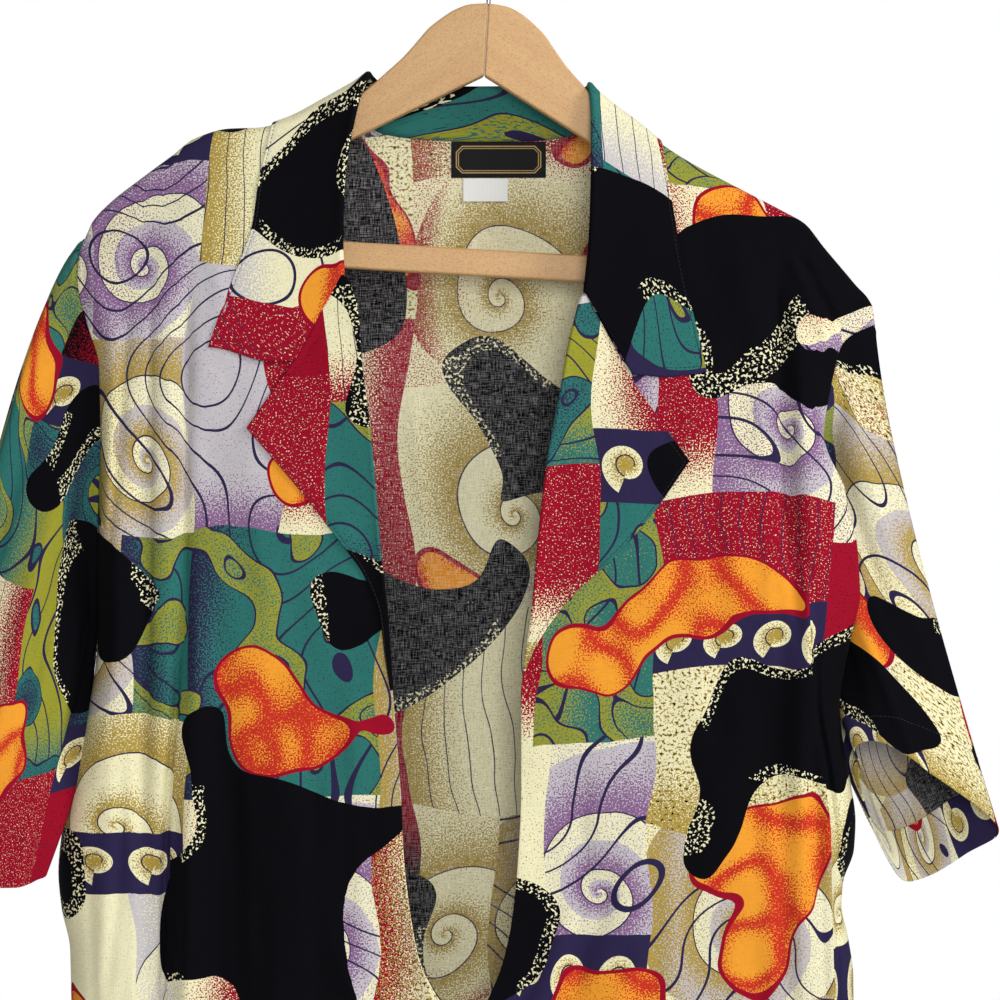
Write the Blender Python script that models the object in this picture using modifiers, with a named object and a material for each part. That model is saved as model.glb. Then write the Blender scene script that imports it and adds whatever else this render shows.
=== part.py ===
"""A short-sleeved camp-collar shirt, open at the front, on a flat wooden hanger with a trouser bar.

World axes: +Z up, the shirt's front faces -Y and +X is on the viewer's right, who sees the front.
The origin is the inside top of the hanger's hook, where a rail or a peg holds everything up.
Lengths in this file are millimetres. "Drop" is the distance below the hook, so z = -drop.
The objects are in metres.
"""

import math

import bpy
import numpy as np

MM = 0.001

# The shirt
OBJECT_NAME = "camp_collar_shirt_on_hanger"
CLOTH_WALL = 1.6
COLLAR_WALL = 1.8
LABEL_WALL = 0.9
SEAM_GAP = 0.5
HEM_DROP = 838.0
BACK_CENTRE_X = -15.0
WRAP_DROP = 8.0
WRAP_DEPTH = 9.5
FRONT_DEPTH = 32.0
FRONT_REACH = 85.0
BACK_DEPTH = 30.0
BACK_REACH = 32.0
FLAT_SHARE = 0.78

# The fastening, where the fronts cross
LAP_X = -20.0
LAP_START, LAP_END = 700.0, 775.0
LAP_HALF_WIDTH = 60.0
LAP_STEP = 1.4
BUTTON_DROP = 792.0
BUTTON_RADIUS = 5.7
BUTTON_THICKNESS = 2.4

# The hanger, in its own frame before it tips
HANGER_TIP = 3.3
WOOD_TOP = -70.0
WOOD_THICKNESS = 13.0
WOOD_EDGE_ROUND = 1.8
MITRE_GAP = 0.3
BAR_HALF_LENGTH = 219.0
BAR_TOP, BAR_BOTTOM = -237.0, -255.0
BAR_THICKNESS = 13.0
WIRE_DIAMETER = 3.2
HOOK_RADIUS = 20.0
HOOK_FROM, HOOK_TO = -50.0, 214.0

# The labels inside the back neck
LABEL_SIZE = (65.0, 24.5)
LABEL_PLACE = (-29.5, 161.0)
TAB_SIZE = (31.0, 16.0)
TAB_PLACE = (-21.5, 185.9)


def table(names, *rows):
    """A short table, as one array for each named column."""
    return dict(zip(names.split(), np.array(rows, float).T))


# The line that the shoulder seams follow, from one armhole to the other. It runs on across the neck, where no
# cloth lies on it, so that the collar can be measured from it.
SHOULDER = table(
    "x drop",
    (-278, 229), (-273, 218), (-261, 205), (-242, 190), (-219, 173), (-203, 161), (-180, 154.5),
    (-160, 153.8), (-141, 148.5), (-115, 135), (-100, 127), (-83, 119.5), (-55, 115.5), (-10, 114),
    (40, 116), (58, 122), (66, 128), (80, 138.5), (99, 152.5), (114, 165), (133, 177.3), (171, 197.5),
    (198, 211.5), (211, 219), (224, 235), (245, 260), (257, 275), (259, 288),
)

# The back's upper edge across the neck
NECKLINE = table(
    "x drop",
    (-100, 127), (-96, 137), (-89, 148), (-76, 156), (-50, 159.5), (-15, 161), (25, 160.5),
    (52, 157.5), (64, 149.6), (71, 142), (76, 136),
)

# Each front's inner edge: the neck seam under the collar, the lapel's roll, then the front edge
FRONT_EDGE = {
    "left": table(
        "drop x",
        (127, -100), (138, -107), (155, -113), (180, -115.5), (205, -115), (228, -112), (242, -109),
        (254, -106), (258, -99), (265, -96), (277, -92), (315, -89), (354, -84), (397, -80), (435, -77), (489, -71),
        (520, -69), (571, -65), (611, -62), (645, -60.5), (679, -57), (713, -51), (738, -39),
        (755, -27), (775, -13), (792, -7), (815, -6), (838, -7),
    ),
    "right": table(
        "drop x",
        (136, 76), (150, 83), (175, 87), (205, 85.5), (235, 79), (252, 71), (266.5, 65.2), (270.5, 58.5),
        (283, 55), (303, 50),
        (332, 45), (373, 37), (421, 31), (475, 26), (513, 21), (540, 18), (605, 18), (648, 16),
        (689, 12), (717, 6), (740, -3), (757, -13), (775, -26), (792, -32), (815, -33), (838, -32),
    ),
}

# Each side's seams: the armhole down to the underarm, then the side seam. The cloth turns back round the
# side by "turn" degrees over a curve "round" wide.
SEAM = {
    "left": table(
        "drop x front_y back_y round turn",
        (229, -278, -0.25, 0.25, 20, 30), (240, -281, -8, 8, 20, 30), (257, -282, -12, 12, 20, 30),
        (288, -275, -15, 15, 20, 30), (317, -267, -16, 16, 20, 30), (367, -266, -16, 16, 20, 32),
        (421, -268, -14, 14, 20, 40), (470, -269, -9, 9, 20, 60), (509, -270, -0.25, 0.25, 20, 85),
        (560, -272, -0.25, 0.25, 20, 90), (600, -281, -0.25, 0.25, 22, 90),
        (640, -292, -0.25, 0.25, 24, 90), (660, -296, -0.25, 0.25, 24, 90),
        (683, -294, -0.25, 0.25, 24, 90), (713, -288, -0.25, 0.25, 24, 90),
        (838, -286, -0.25, 0.25, 26, 90),
    ),
    "right": table(
        "drop x front_y back_y round turn",
        (288, 259, -0.7, 0.7, 18, 30), (291, 251, -5, 5, 18, 30), (297, 240, -9, 10, 18, 30),
        (304, 234.5, -11.5, 13, 18, 30), (316, 231, -14, 16, 18, 34), (340, 226, -14, 16, 18, 50), (362, 223, -12, 16, 20, 80),
        (385, 222, -11, 16, 24, 120), (413, 222, -10, 15, 32, 148), (448, 226, -9, 13, 38, 150),
        (480, 229, -8, 10, 36, 150), (512, 231, -4, 6, 26, 140), (543, 232, -0.25, 0.25, 20, 120),
        (575, 234, -0.25, 0.25, 18, 95), (600, 238, -0.25, 0.25, 20, 90),
        (626, 243, -0.25, 0.25, 22, 90), (645, 243, -0.25, 0.25, 22, 90),
        (668, 237, -0.25, 0.25, 22, 90), (683, 236, -0.25, 0.25, 22, 90),
        (702, 240, -0.25, 0.25, 24, 90), (731, 244, -0.25, 0.25, 24, 90),
        (838, 245, -0.25, 0.25, 26, 90),
    ),
}
UNDERARM_DROP = {"left": 509.0, "right": 543.0}

# Folds: each a bell this wide to either side, standing out from the cloth (or into it) by "out"
FOLD_NAMES = "x_top drop_top x_bottom drop_bottom half_width out"
FOLD_FADE = 0.22
FOLDS = {
    "front": table(
        FOLD_NAMES,
        (-219, 225, -222, 640, 9, 4), (-207, 235, -207, 560, 5, -3.5), (-207, 430, -226, 1000, 8, -8),
        (-202, 440, -210, 1000, 12, 11), (-184, 470, -184, 1000, 10, -4), (-250, 300, -262, 1000, 15, 6),
        (-235, 320, -238, 700, 6, -3), (-140, 520, -128, 1000, 24, 4),
        (192, 235, 206, 520, 6, -5), (214, 300, 220, 620, 13, 5), (200, 430, 222, 1000, 10, 8),
        (212, 520, 231, 1000, 6, -6), (160, 330, 150, 1000, 26, 3), (88, 560, 82, 1000, 24, 4),
    ),
    "back": table(
        FOLD_NAMES,
        (-205, 260, -215, 1000, 22, 6), (-150, 330, -140, 1000, 20, -4), (-95, 300, -85, 1000, 26, 5),
        (-20, 380, -22, 1000, 26, -3), (60, 320, 52, 1000, 26, 5), (120, 330, 112, 1000, 20, -4),
        (175, 280, 185, 1000, 22, 6),
    ),
}

# The collar, from its left front end round the back of the neck to its right one. Over is measured across
# the shoulder line: forward is less than 0, backward more. Rise is how far the fold stands up.
COLLAR = table(
    "roll_x roll_over edge_x edge_over seam_x seam_over rise",
    (-101, -125, -192, -147.5, -102, -124, 1.6), (-101, -105, -178, -110, -106, -106, 1.8),
    (-100, -64, -163, -68, -112, -66, 2.0), (-96, -38, -159, -40, -111, -36, 2.2),
    (-90, -13, -154, -16, -106, -13, 2.4), (-83, 0, -150, 0, -98.4, 0.6, 2.4),
    (-72, 7, -139, 16, -94, 16, 2.6), (-50, 10, -100, 40, -70, 41, 2.8),
    (-12, 11, -14, 58, -12, 46, 2.8), (28, 10, 62, 46, 40, 43, 2.8), (52, 7, 98, 18, 62, 24, 2.6),
    (63, 0, 113, 0, 73.4, 0.6, 2.4), (65, -20, 116, -14, 81, -16, 2.2),
    (65, -45, 120, -36, 84, -42, 2.0), (64, -90, 127, -76, 80, -88, 1.8),
    (62, -120, 135, -108, 69, -117, 1.8), (60, -142, 143, -138, 61, -141, 1.6),
)
COLLAR_NOTCH_SHARE = 0.45
COLLAR_NOTCH = {"left": (9.0, -31.0), "right": (-5.4, -33.8)}
COLLAR_NOTCH_REACH = 1.6
COLLAR_LIFT = 1.8
NECK_GAP = 1.1

# Each lapel: where a line across it leaves the roll, and where it ends at the outer edge
LAPEL = {
    "left": table(
        "roll_drop edge_x edge_drop",
        (258, -166, 358.6), (315, -134, 396), (370, -108, 429), (430, -86, 459), (476, -74.6, 477),
    ),
    "right": table(
        "roll_drop edge_x edge_drop",
        (270.5, 131, 380.8), (322, 108, 414), (380, 80, 446), (440, 50, 474), (508, 24.2, 510),
    ),
}
LAPEL_NOTCH_SHARE = 0.49
LAPEL_NOTCH = {"left": 6.2, "right": 7.2}
LAPEL_LIFT = 1.4
LAPEL_ROLL_LIFT = 2.4

# Each sleeve's hem, as eight points evenly numbered round it: top fold, front, underarm and rear, and the
# four between them
SLEEVE_HEM = {
    "left": table(
        "x y drop",
        (-392, -18, 603), (-372, -44, 645), (-338, -56, 664), (-312, -46, 664), (-302, -18, 652),
        (-318, 8, 634), (-348, 14, 618), (-378, 4, 600),
    ),
    "right": table(
        "x y drop",
        (341, -6, 627), (304, -28, 598), (268, -36, 573), (244, -20, 580), (262, 4, 640),
        (282, 16, 668), (306, 16, 660), (332, 8, 643),
    ),
}
SLEEVE_BOW = {"left": -13.0, "right": -8.0}
SLEEVE_START = 55.0
SLEEVE_EASE = 1.6
SLEEVE_GAP = 1.2
SLEEVE_SETBACK = {"left": 0.0, "right": 13.0}


def through(knots, values, at):
    """A curve through a table's rows, in cubic pieces whose slopes are held down so that it never swings past them."""
    rates = np.diff(values) / np.diff(knots)
    slopes = np.concatenate([rates[:1], np.zeros(len(rates) - 1), rates[-1:]])
    same = rates[:-1] * rates[1:] > 0
    slopes[1:-1][same] = 2 / (1 / rates[:-1][same] + 1 / rates[1:][same])
    at = np.clip(at, knots[0], knots[-1])
    piece = np.clip(np.searchsorted(knots, at) - 1, 0, len(rates) - 1)
    width = knots[piece + 1] - knots[piece]
    t = (at - knots[piece]) / width
    start, end = values[piece], values[piece + 1]
    bend = t * (1 - t) * width * (slopes[piece] * (1 - t) - slopes[piece + 1] * t)
    return start + (end - start) * t * t * (3 - 2 * t) + bend


def read(source, name, at, key="drop"):
    """A column of a table, read between its rows."""
    return through(source[key], source[name], at)


def ease(t):
    """A smooth step from 0 to 1."""
    t = np.clip(t, 0, 1)
    return t * t * (3 - 2 * t)


def shoulder_drop(x):
    return read(SHOULDER, "drop", x, "x")


def stand_off(below, depth, reach):
    """How far the cloth stands from the hanger's plane: a quarter ellipse over the wood, then a slow swell."""
    wrap = np.clip(below / WRAP_DROP, 0, 1)
    swell = 1 - np.exp(-np.maximum(below - WRAP_DROP, 0) / reach)
    return SEAM_GAP / 2 + WRAP_DEPTH * np.sqrt(1 - (1 - wrap) ** 2) + (depth - WRAP_DEPTH) * swell


def relief(folds, x, drop):
    """All folds together: bells across, along straight leaning lines that fade in and out at their ends."""
    total = np.zeros(np.broadcast(x, drop).shape)
    for x_top, drop_top, x_bottom, drop_bottom, half_width, out in zip(*folds.values()):
        along = (drop - drop_top) / (drop_bottom - drop_top)
        fade = ease(along / FOLD_FADE) * ease((1 - along) / FOLD_FADE)
        total += out * fade * np.exp(-(((x - x_top - (x_bottom - x_top) * along) / half_width) ** 2))
    return total


def front_face_y(side, x, drop):
    """The fronts' outer face. Near the button one front crosses over the other."""
    below = drop - shoulder_drop(x)
    lap = ease((drop - LAP_START) / (LAP_END - LAP_START)) * np.exp(-(((x - LAP_X) / LAP_HALF_WIDTH) ** 2))
    step = {"left": -LAP_STEP, "right": LAP_STEP}[side] * lap
    return step - stand_off(below, FRONT_DEPTH, FRONT_REACH) - relief(FOLDS["front"], x, drop)


def back_face_y(x, drop):
    """The back's outer face."""
    below = drop - shoulder_drop(x)
    return stand_off(below, BACK_DEPTH, BACK_REACH) + relief(FOLDS["back"], x, drop)


def sign_of(side):
    return {"left": -1.0, "right": 1.0}[side]


def seam_turn(side, seam_y_name, drop):
    """How far the cloth turns back at the seam. The back turns less than the front along the armhole."""
    turn = read(SEAM[side], "turn", drop)
    if seam_y_name == "back_y":
        top = SEAM[side]["drop"][0]
        turn = np.minimum(turn, 30 + 60 * np.minimum((drop - top) / (UNDERARM_DROP[side] - top), 1) ** 3)
    return np.radians(turn)


def panel_points(side, across, down, inner_x, top_of_inner, seam_y_name, face_y):
    """Rows from an inner edge to the armhole and side seam.

    Each row runs straight over the face, then round the side on an ellipse that ends at the seam after the
    table's turn. The top row follows the upper edge, and lower rows lose that shape with the cube of the distance.
    """
    seam = SEAM[side]
    seam_top = seam["drop"][0]
    inner_drop = top_of_inner + (HEM_DROP - top_of_inner) * down
    outer_drop = seam_top + (HEM_DROP - seam_top) * down
    turn = seam_turn(side, seam_y_name, outer_drop)
    wide = sign_of(side) * read(seam, "round", outer_drop)
    start_x = read(seam, "x", outer_drop) - wide * np.sin(turn)
    angle = turn * np.clip((across - FLAT_SHARE) / (1 - FLAT_SHARE), 0, 1)
    edge_x = inner_x(inner_drop)
    x = edge_x + (start_x - edge_x) * np.clip(across / FLAT_SHARE, 0, 1) + wide * np.sin(angle)
    level = inner_drop + (outer_drop - inner_drop) * across
    drop = level + (upper_edge_drop(seam_y_name, x[:, :1]) - level[:, :1]) * (1 - down) ** 3
    back_share = (1 - np.cos(angle)) / (1 - np.cos(turn))
    y = face_y(x, drop) * (1 - back_share) + read(seam, seam_y_name, outer_drop) * back_share
    return np.stack([x, y, -drop], -1)


def upper_edge_drop(seam_y_name, x):
    """A panel's upper edge: the shoulder line, and on the back the neckline between the neck points."""
    if seam_y_name == "front_y":
        return shoulder_drop(x)
    in_neck = (x > NECKLINE["x"][0]) & (x < NECKLINE["x"][-1])
    return np.where(in_neck, read(NECKLINE, "drop", x, "x"), shoulder_drop(x))


def spaced(*stops):
    """Numbers from stop to stop, given as a start and then pairs of (next stop, steps)."""
    numbers = [np.array(stops[:1], float)]
    for stop, steps in stops[1:]:
        numbers.append(np.linspace(numbers[-1][-1], stop, steps + 1)[1:])
    return np.concatenate(numbers)


def rows_down(count):
    """Shares of a panel's length: a few close together over the wood's top, then this many spreading to the hem."""
    over_wood = [0.0, 0.00015, 0.0012, 0.0036, 0.0075, 0.0125, 0.02, 0.03]
    return np.concatenate([over_wood, over_wood[-1] + (1 - over_wood[-1]) * (np.arange(1, count + 1) / count) ** 1.15])


def front_points(side):
    across = spaced(0.0, (0.25, 5), (0.45, 3), (FLAT_SHARE, 8), (1.0, 6))[:, None]
    down = rows_down(21)[None, :]
    edge = FRONT_EDGE[side]
    return panel_points(
        side, across, down, lambda drop: read(edge, "x", drop), edge["drop"][0], "front_y",
        lambda x, drop: front_face_y(side, x, drop),
    )


def back_half_points(side):
    seam = SEAM[side]
    neck_x = NECKLINE["x"][0] if side == "left" else NECKLINE["x"][-1]
    top_width = seam["x"][0] - sign_of(side) * seam["round"][0] * math.sin(math.radians(seam["turn"][0]))
    neck_share = FLAT_SHARE * (neck_x - BACK_CENTRE_X) / (top_width - BACK_CENTRE_X)
    across = spaced(0.0, (neck_share * 0.7, 3), (neck_share * 0.88, 2), (neck_share * 0.96, 1), (neck_share, 1),
                    (neck_share + 0.2, 4), (FLAT_SHARE, 3), (1.0, 5))[:, None]
    down = rows_down(16)[None, :]
    centre_drop = float(read(NECKLINE, "drop", BACK_CENTRE_X, "x"))
    return panel_points(
        side, across, down, lambda drop: np.full(drop.shape, BACK_CENTRE_X), centre_drop, "back_y", back_face_y
    )


def back_points():
    """The whole back, as its left half turned round and joined to its right half at the centre."""
    return np.concatenate([back_half_points("left")[::-1], back_half_points("right")[1:]])


def over_shoulder(x, over, lift):
    """The point this far over the shoulder line and this far out from the shirt's outer face there."""
    below = np.abs(over)
    depth, reach = np.where(over > 0, BACK_DEPTH, FRONT_DEPTH), np.where(over > 0, BACK_REACH, FRONT_REACH)
    before = np.maximum(below - 0.5, 0)
    slope = (stand_off(below + 0.5, depth, reach) - stand_off(before, depth, reach)) / (below + 0.5 - before)
    side_share = np.where(below > 0, 1 / np.hypot(1, slope), 0)
    y = np.sign(over) * (stand_off(below, depth, reach) + lift * side_share)
    z = -shoulder_drop(x) - below + lift * np.sqrt(1 - side_share**2)
    return np.stack(np.broadcast_arrays(x, y, z), -1)


def neck_seam(x, over):
    """The collar's seam edge, brought a gap away from the fronts' inner edges and the back's neckline."""
    drop = shoulder_drop(x) - over
    left = read(FRONT_EDGE["left"], "x", drop) + NECK_GAP
    right = read(FRONT_EDGE["right"], "x", drop) - NECK_GAP
    front_x = np.where(x < BACK_CENTRE_X, left, right)
    outward = NECK_GAP * np.clip((x - BACK_CENTRE_X) / 30, -1, 1)
    back_over = read(NECKLINE, "drop", x + outward, "x") - NECK_GAP - shoulder_drop(x)
    on_front = over < 0
    return np.where(on_front, front_x, x), np.where(on_front, shoulder_drop(front_x) - drop, back_over)


def collar_points():
    """The collar's middle surface.

    Each line across it starts at the neck seam, runs inside to the roll, turns over on a half circle, and runs
    out over the shirt to the outer edge. The end lines bend to the notch.
    """
    stations = spaced(0.0, (4.0, 8), (4.8, 2), (5.5, 7), (6.0, 2), (10.0, 10), (10.5, 2), (11.2, 7), (12.0, 2),
                      (16.0, 9))[:, None]
    count = np.arange(len(COLLAR["rise"]), dtype=float)
    at = {name: through(count, values, stations) for name, values in COLLAR.items()}
    stand = np.array([0.0, 0.5, 1.0])[None, :]
    turn = np.radians([45.0, 90.0, 135.0])[None, :]
    fall = spaced(0.0, (0.12, 1), (1.0, 7))[None, :]

    wide = np.hypot(at["edge_x"] - at["roll_x"], at["edge_over"] - at["roll_over"])
    out_x = (at["edge_x"] - at["roll_x"]) / wide
    out_over = (at["edge_over"] - at["roll_over"]) / wide
    radius = (at["rise"] + 2.0 + CLOTH_WALL / 2) / 2
    centre_x = at["roll_x"] + out_x * (radius + COLLAR_WALL / 2)
    centre_over = at["roll_over"] + out_over * (radius + COLLAR_WALL / 2)
    seam_x, seam_over = neck_seam(at["seam_x"], at["seam_over"])

    tent = np.where(fall < COLLAR_NOTCH_SHARE, fall / COLLAR_NOTCH_SHARE, (1 - fall) / (1 - COLLAR_NOTCH_SHARE))
    bend_x, bend_over = 0.0, 0.0
    for side, from_end in (("left", stations), ("right", stations[-1] - stations)):
        near = np.clip(1 - from_end / COLLAR_NOTCH_REACH, 0, 1) ** 2
        bend_x = bend_x + COLLAR_NOTCH[side][0] * near * tent
        bend_over = bend_over + COLLAR_NOTCH[side][1] * near * tent
    x_fall = centre_x + (at["edge_x"] - centre_x) * fall + bend_x
    over_fall = centre_over + (at["edge_over"] - centre_over) * fall + bend_over
    lift_fall = COLLAR_LIFT + (at["rise"] - COLLAR_LIFT + 2.0) * np.exp(-fall * 9)

    x_stand = seam_x + (centre_x - seam_x) * stand
    over_stand = seam_over + (centre_over - seam_over) * stand
    x_turn = centre_x - out_x * radius * np.sin(turn)
    over_turn = centre_over - out_over * radius * np.sin(turn)
    lift_turn = radius - CLOTH_WALL / 2 - radius * np.cos(turn)
    return np.concatenate([
        over_shoulder(x_stand, over_stand, -CLOTH_WALL / 2),
        over_shoulder(x_turn, over_turn, lift_turn),
        over_shoulder(x_fall, over_fall, lift_fall),
    ], 1)


def lapel_points(side):
    """A lapel's middle surface: lines from the roll to the outer edge, laid on the front and lifted at the roll."""
    shape = LAPEL[side]
    along = np.linspace(0, 1, 10)[:, None] * (len(shape["edge_x"]) - 1)
    count = np.arange(len(shape["edge_x"]), dtype=float)
    roll_drop, edge_x, edge_drop = (through(count, shape[name], along) for name in shape)
    out = spaced(0.0, (0.2, 2), (1.0, 6))[None, :]
    roll_x = read(FRONT_EDGE[side], "x", roll_drop)
    x = roll_x + (edge_x - roll_x) * out
    tent = np.where(out < LAPEL_NOTCH_SHARE, out / LAPEL_NOTCH_SHARE, (1 - out) / (1 - LAPEL_NOTCH_SHARE))
    bend = LAPEL_NOTCH[side] * tent * np.clip(1 - along, 0, 1) ** 2
    drop = roll_drop + (edge_drop - roll_drop) * out + bend
    lift = LAPEL_LIFT + LAPEL_ROLL_LIFT * np.exp(-np.abs(x - roll_x) / 9)
    return np.stack([x, front_face_y(side, x, drop) - lift, -drop], -1)


def closed_curve(points, angle):
    """A smooth closed curve through evenly numbered points, as the sum of their harmonics."""
    count = len(points)
    harmonics = np.fft.fft(points) / count
    orders = np.fft.fftfreq(count, 1 / count)
    waves = np.exp(1j * orders * np.asarray(angle)[..., None])
    waves[..., count // 2] = np.cos(count // 2 * np.asarray(angle))
    return (waves * harmonics).sum(-1).real


def armhole_points(side, angle):
    """The armhole seam, down its front and up its back, and the direction in which the cloth leaves it."""
    seam = SEAM[side]
    top, underarm = seam["drop"][0], UNDERARM_DROP[side]
    drop = top + (underarm - top) * (1 - np.cos(angle)) / 2
    front = np.sin(angle) >= 0
    y = np.where(front, read(seam, "front_y", drop), read(seam, "back_y", drop))
    turn = np.where(front, seam_turn(side, "front_y", drop), seam_turn(side, "back_y", drop))
    turn = np.minimum(turn, math.radians(75))
    lean = sign_of(side) * (read(seam, "x", drop + 2) - read(seam, "x", drop - 2)) / 4
    across = np.cos(turn) / np.hypot(1, lean)
    outward = across + 0.6 * np.sin(angle / 2) ** 8
    fall = 0.25 + 0.5 * np.cos(angle) ** 2 - lean * across
    heading = np.stack([sign_of(side) * outward, np.sin(angle) * np.sin(turn), -fall], -1)
    heading /= np.linalg.norm(heading, axis=-1, keepdims=True)
    return np.stack([read(seam, "x", drop), y, -drop], -1), heading


def sleeve_points(side):
    """The sleeve's outer surface: rings that leave the armhole with the panels and ease into the open hem."""
    even = np.linspace(0, 2 * math.pi, 29)[:-1][:, None]
    angle = even - 0.25 * np.sin(2 * even)
    along = spaced(0.0, (0.12, 3), (1.0, 9))[None, :]
    start, heading = armhole_points(side, angle)
    hem = SLEEVE_HEM[side]
    end = np.stack([closed_curve(hem[name], angle) for name in ("x", "y", "drop")], -1) * (1, 1, -1)
    share = (along ** SLEEVE_EASE)[..., None]
    leave = (along * (1 - along) ** 3)[..., None]
    bow = SLEEVE_BOW[side] * np.sin(math.pi * along) * np.cos(angle / 2) ** 2
    points = start + (end - start) * share + heading * (SLEEVE_START * leave + SLEEVE_GAP)
    points[..., 0] += bow
    points[..., 1] += SLEEVE_SETBACK[side] * np.maximum(np.sin(angle), 0) * ease(along * 4) * ease((1 - along) * 2)
    return points


def node(name, mesh, material):
    """A named object in the parts collection, with its own material."""
    piece = bpy.data.objects.new(name, mesh)
    bpy.data.collections[OBJECT_NAME].objects.link(piece)
    mesh.materials.append(material)
    return piece


def finish(name, colour, roughness, metallic=0.0):
    made = bpy.data.materials.new(name)
    made.use_nodes = True
    shader = made.node_tree.nodes["Principled BSDF"]
    shader.inputs["Base Color"].default_value = (*colour, 1.0)
    shader.inputs["Roughness"].default_value = roughness
    shader.inputs["Metallic"].default_value = metallic
    return made


def grid_mesh(name, points, closed_across=False, flip=False):
    """A mesh of quads over a grid of points, whose first index may run round a tube."""
    across, down = points.shape[:2]
    index = np.arange(across * down).reshape(across, down)
    if closed_across:
        index = np.concatenate([index, index[:1]])
    corners = [index[:-1, :-1], index[1:, :-1], index[1:, 1:], index[:-1, 1:]]
    faces = np.stack(corners, -1).reshape(-1, 4)
    mesh = bpy.data.meshes.new(name)
    mesh.from_pydata(points.reshape(-1, 3) * MM, [], faces[:, ::-1] if flip else faces)
    mesh.shade_smooth()
    return mesh


def cloth(name, points, wall, colour, offset=-1.0, **grid):
    """A sheet of cloth: a wall of even thickness behind (or about) the surface through the points."""
    piece = node(name, grid_mesh(name, points, **grid), finish(name, colour, 0.75))
    solid = piece.modifiers.new("wall", "SOLIDIFY")
    solid.thickness = wall * MM
    solid.offset = offset
    solid.use_even_offset = False
    return piece


def on_back(place, size, lift, columns, rows):
    """A patch inside the back: a rectangle on its inner face, moved in."""
    x = place[0] + size[0] * np.linspace(0, 1, columns)[:, None]
    drop = place[1] + size[1] * np.linspace(0, 1, rows)[None, :]
    x, drop = np.broadcast_arrays(x, drop)
    return np.stack([x, back_face_y(x, drop) - CLOTH_WALL - lift, -drop], -1)


def make_cloth():
    red, cream, teal = (0.45, 0.02, 0.05), (0.8, 0.75, 0.5), (0.05, 0.3, 0.28)
    cloth("back", back_points(), CLOTH_WALL, cream)
    for side, colour, flip in (("left", red, False), ("right", teal, True)):
        cloth(f"front_{side}", front_points(side), CLOTH_WALL, colour, flip=flip)
        cloth(f"lapel_{side}", lapel_points(side), COLLAR_WALL, cream, offset=0.0, flip=flip)
        cloth(f"sleeve_{side}", sleeve_points(side), CLOTH_WALL, teal, closed_across=True, flip=not flip)
    cloth("collar", collar_points(), COLLAR_WALL, red, offset=0.0)
    cloth("neck_label", on_back(LABEL_PLACE, LABEL_SIZE, 0.8, 7, 4), LABEL_WALL, (0.02, 0.02, 0.02), offset=0.0)
    cloth("care_tab", on_back(TAB_PLACE, TAB_SIZE, 0.8, 4, 3), LABEL_WALL, (0.8, 0.8, 0.78), offset=0.0)


def make_button():
    """A flat round button on the outer front where the two cross."""
    bpy.ops.mesh.primitive_cylinder_add(vertices=24, radius=BUTTON_RADIUS * MM, depth=BUTTON_THICKNESS * MM)
    button = bpy.context.object
    button.name = button.data.name = "button"
    button.data.materials.append(finish("button", (0.05, 0.04, 0.04), 0.3))
    move_to_parts(button)
    face = float(front_face_y("left", np.array(LAP_X), np.array(BUTTON_DROP)))
    button.rotation_euler = (math.pi / 2, 0, 0)
    button.location = (LAP_X * MM, (face - SEAM_GAP - BUTTON_THICKNESS / 2) * MM, -BUTTON_DROP * MM)
    edge = button.modifiers.new("rounded rim", "BEVEL")
    edge.width = 0.5 * MM
    edge.segments = 2
    button.data.shade_smooth()


def move_to_parts(piece):
    for collection in list(piece.users_collection):
        collection.objects.unlink(piece)
    bpy.data.collections[OBJECT_NAME].objects.link(piece)


def board(name, outline, thickness, colour, tipped):
    """A flat wooden board of this outline, with rounded edges, that tips with the hanger."""
    mesh = bpy.data.meshes.new(name)
    points = [(x * MM, thickness / 2 * MM, z * MM) for x, z in outline]
    mesh.from_pydata(points, [], [range(len(points))])
    piece = node(name, mesh, finish(name, colour, 0.5))
    solid = piece.modifiers.new("thickness", "SOLIDIFY")
    solid.thickness = thickness * MM
    solid.offset = -1.0
    edges = piece.modifiers.new("rounded edges", "BEVEL")
    edges.width = WOOD_EDGE_ROUND * MM
    edges.segments = 2
    edges.limit_method = "ANGLE"
    piece.parent = tipped
    return piece


def arm_outline(side):
    """One arm: the bell-shaped neck, the sloping arm, and its flat foot on the trouser bar."""
    upper = [(12, -1.4), (22, -5.5), (33, -13.5), (40, -20), (45, -26.5), (55.5, -39.8), (66, -50.5), (80, -64),
             (100, -80), (123, -97.5), (150, -112), (182, -126), (210, -139)]
    foot = [(220, -146.5), (225, -156), (222, -166.7), (203, -166.7), (199, -159.2)]
    outline = [(MITRE_GAP / 2, 0), *upper, *foot, (MITRE_GAP / 2, -49)]
    turned = outline if side == "right" else outline[::-1]
    return [(sign_of(side) * x, WOOD_TOP + z) for x, z in turned]


def hook_path():
    """The wire's middle line: a straight stem, a side bend, and the arc of the hook over its open mouth."""
    stem = np.array([(0.0, WOOD_TOP + 0.3), (0.0, WOOD_TOP + 8), (0.0, WOOD_TOP + 16)])
    centre = np.array([0.0, WIRE_DIAMETER / 2 - HOOK_RADIUS])
    angles = np.radians(np.linspace(HOOK_FROM, HOOK_TO, 26))
    arc = centre + HOOK_RADIUS * np.stack([np.cos(angles), np.sin(angles)], 1)
    t = np.linspace(0, 1, 8)[1:-1, None]
    away = np.array([0.0, 24.0])
    into = 24.0 * np.array([-math.sin(angles[0]), math.cos(angles[0])])
    bend = ((1 + 2 * t) * (1 - t) ** 2 * stem[-1] + t * (1 - t) ** 2 * away
            + t * t * (3 - 2 * t) * arc[0] + t * t * (t - 1) * into)
    return np.concatenate([stem, bend, arc])


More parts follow.
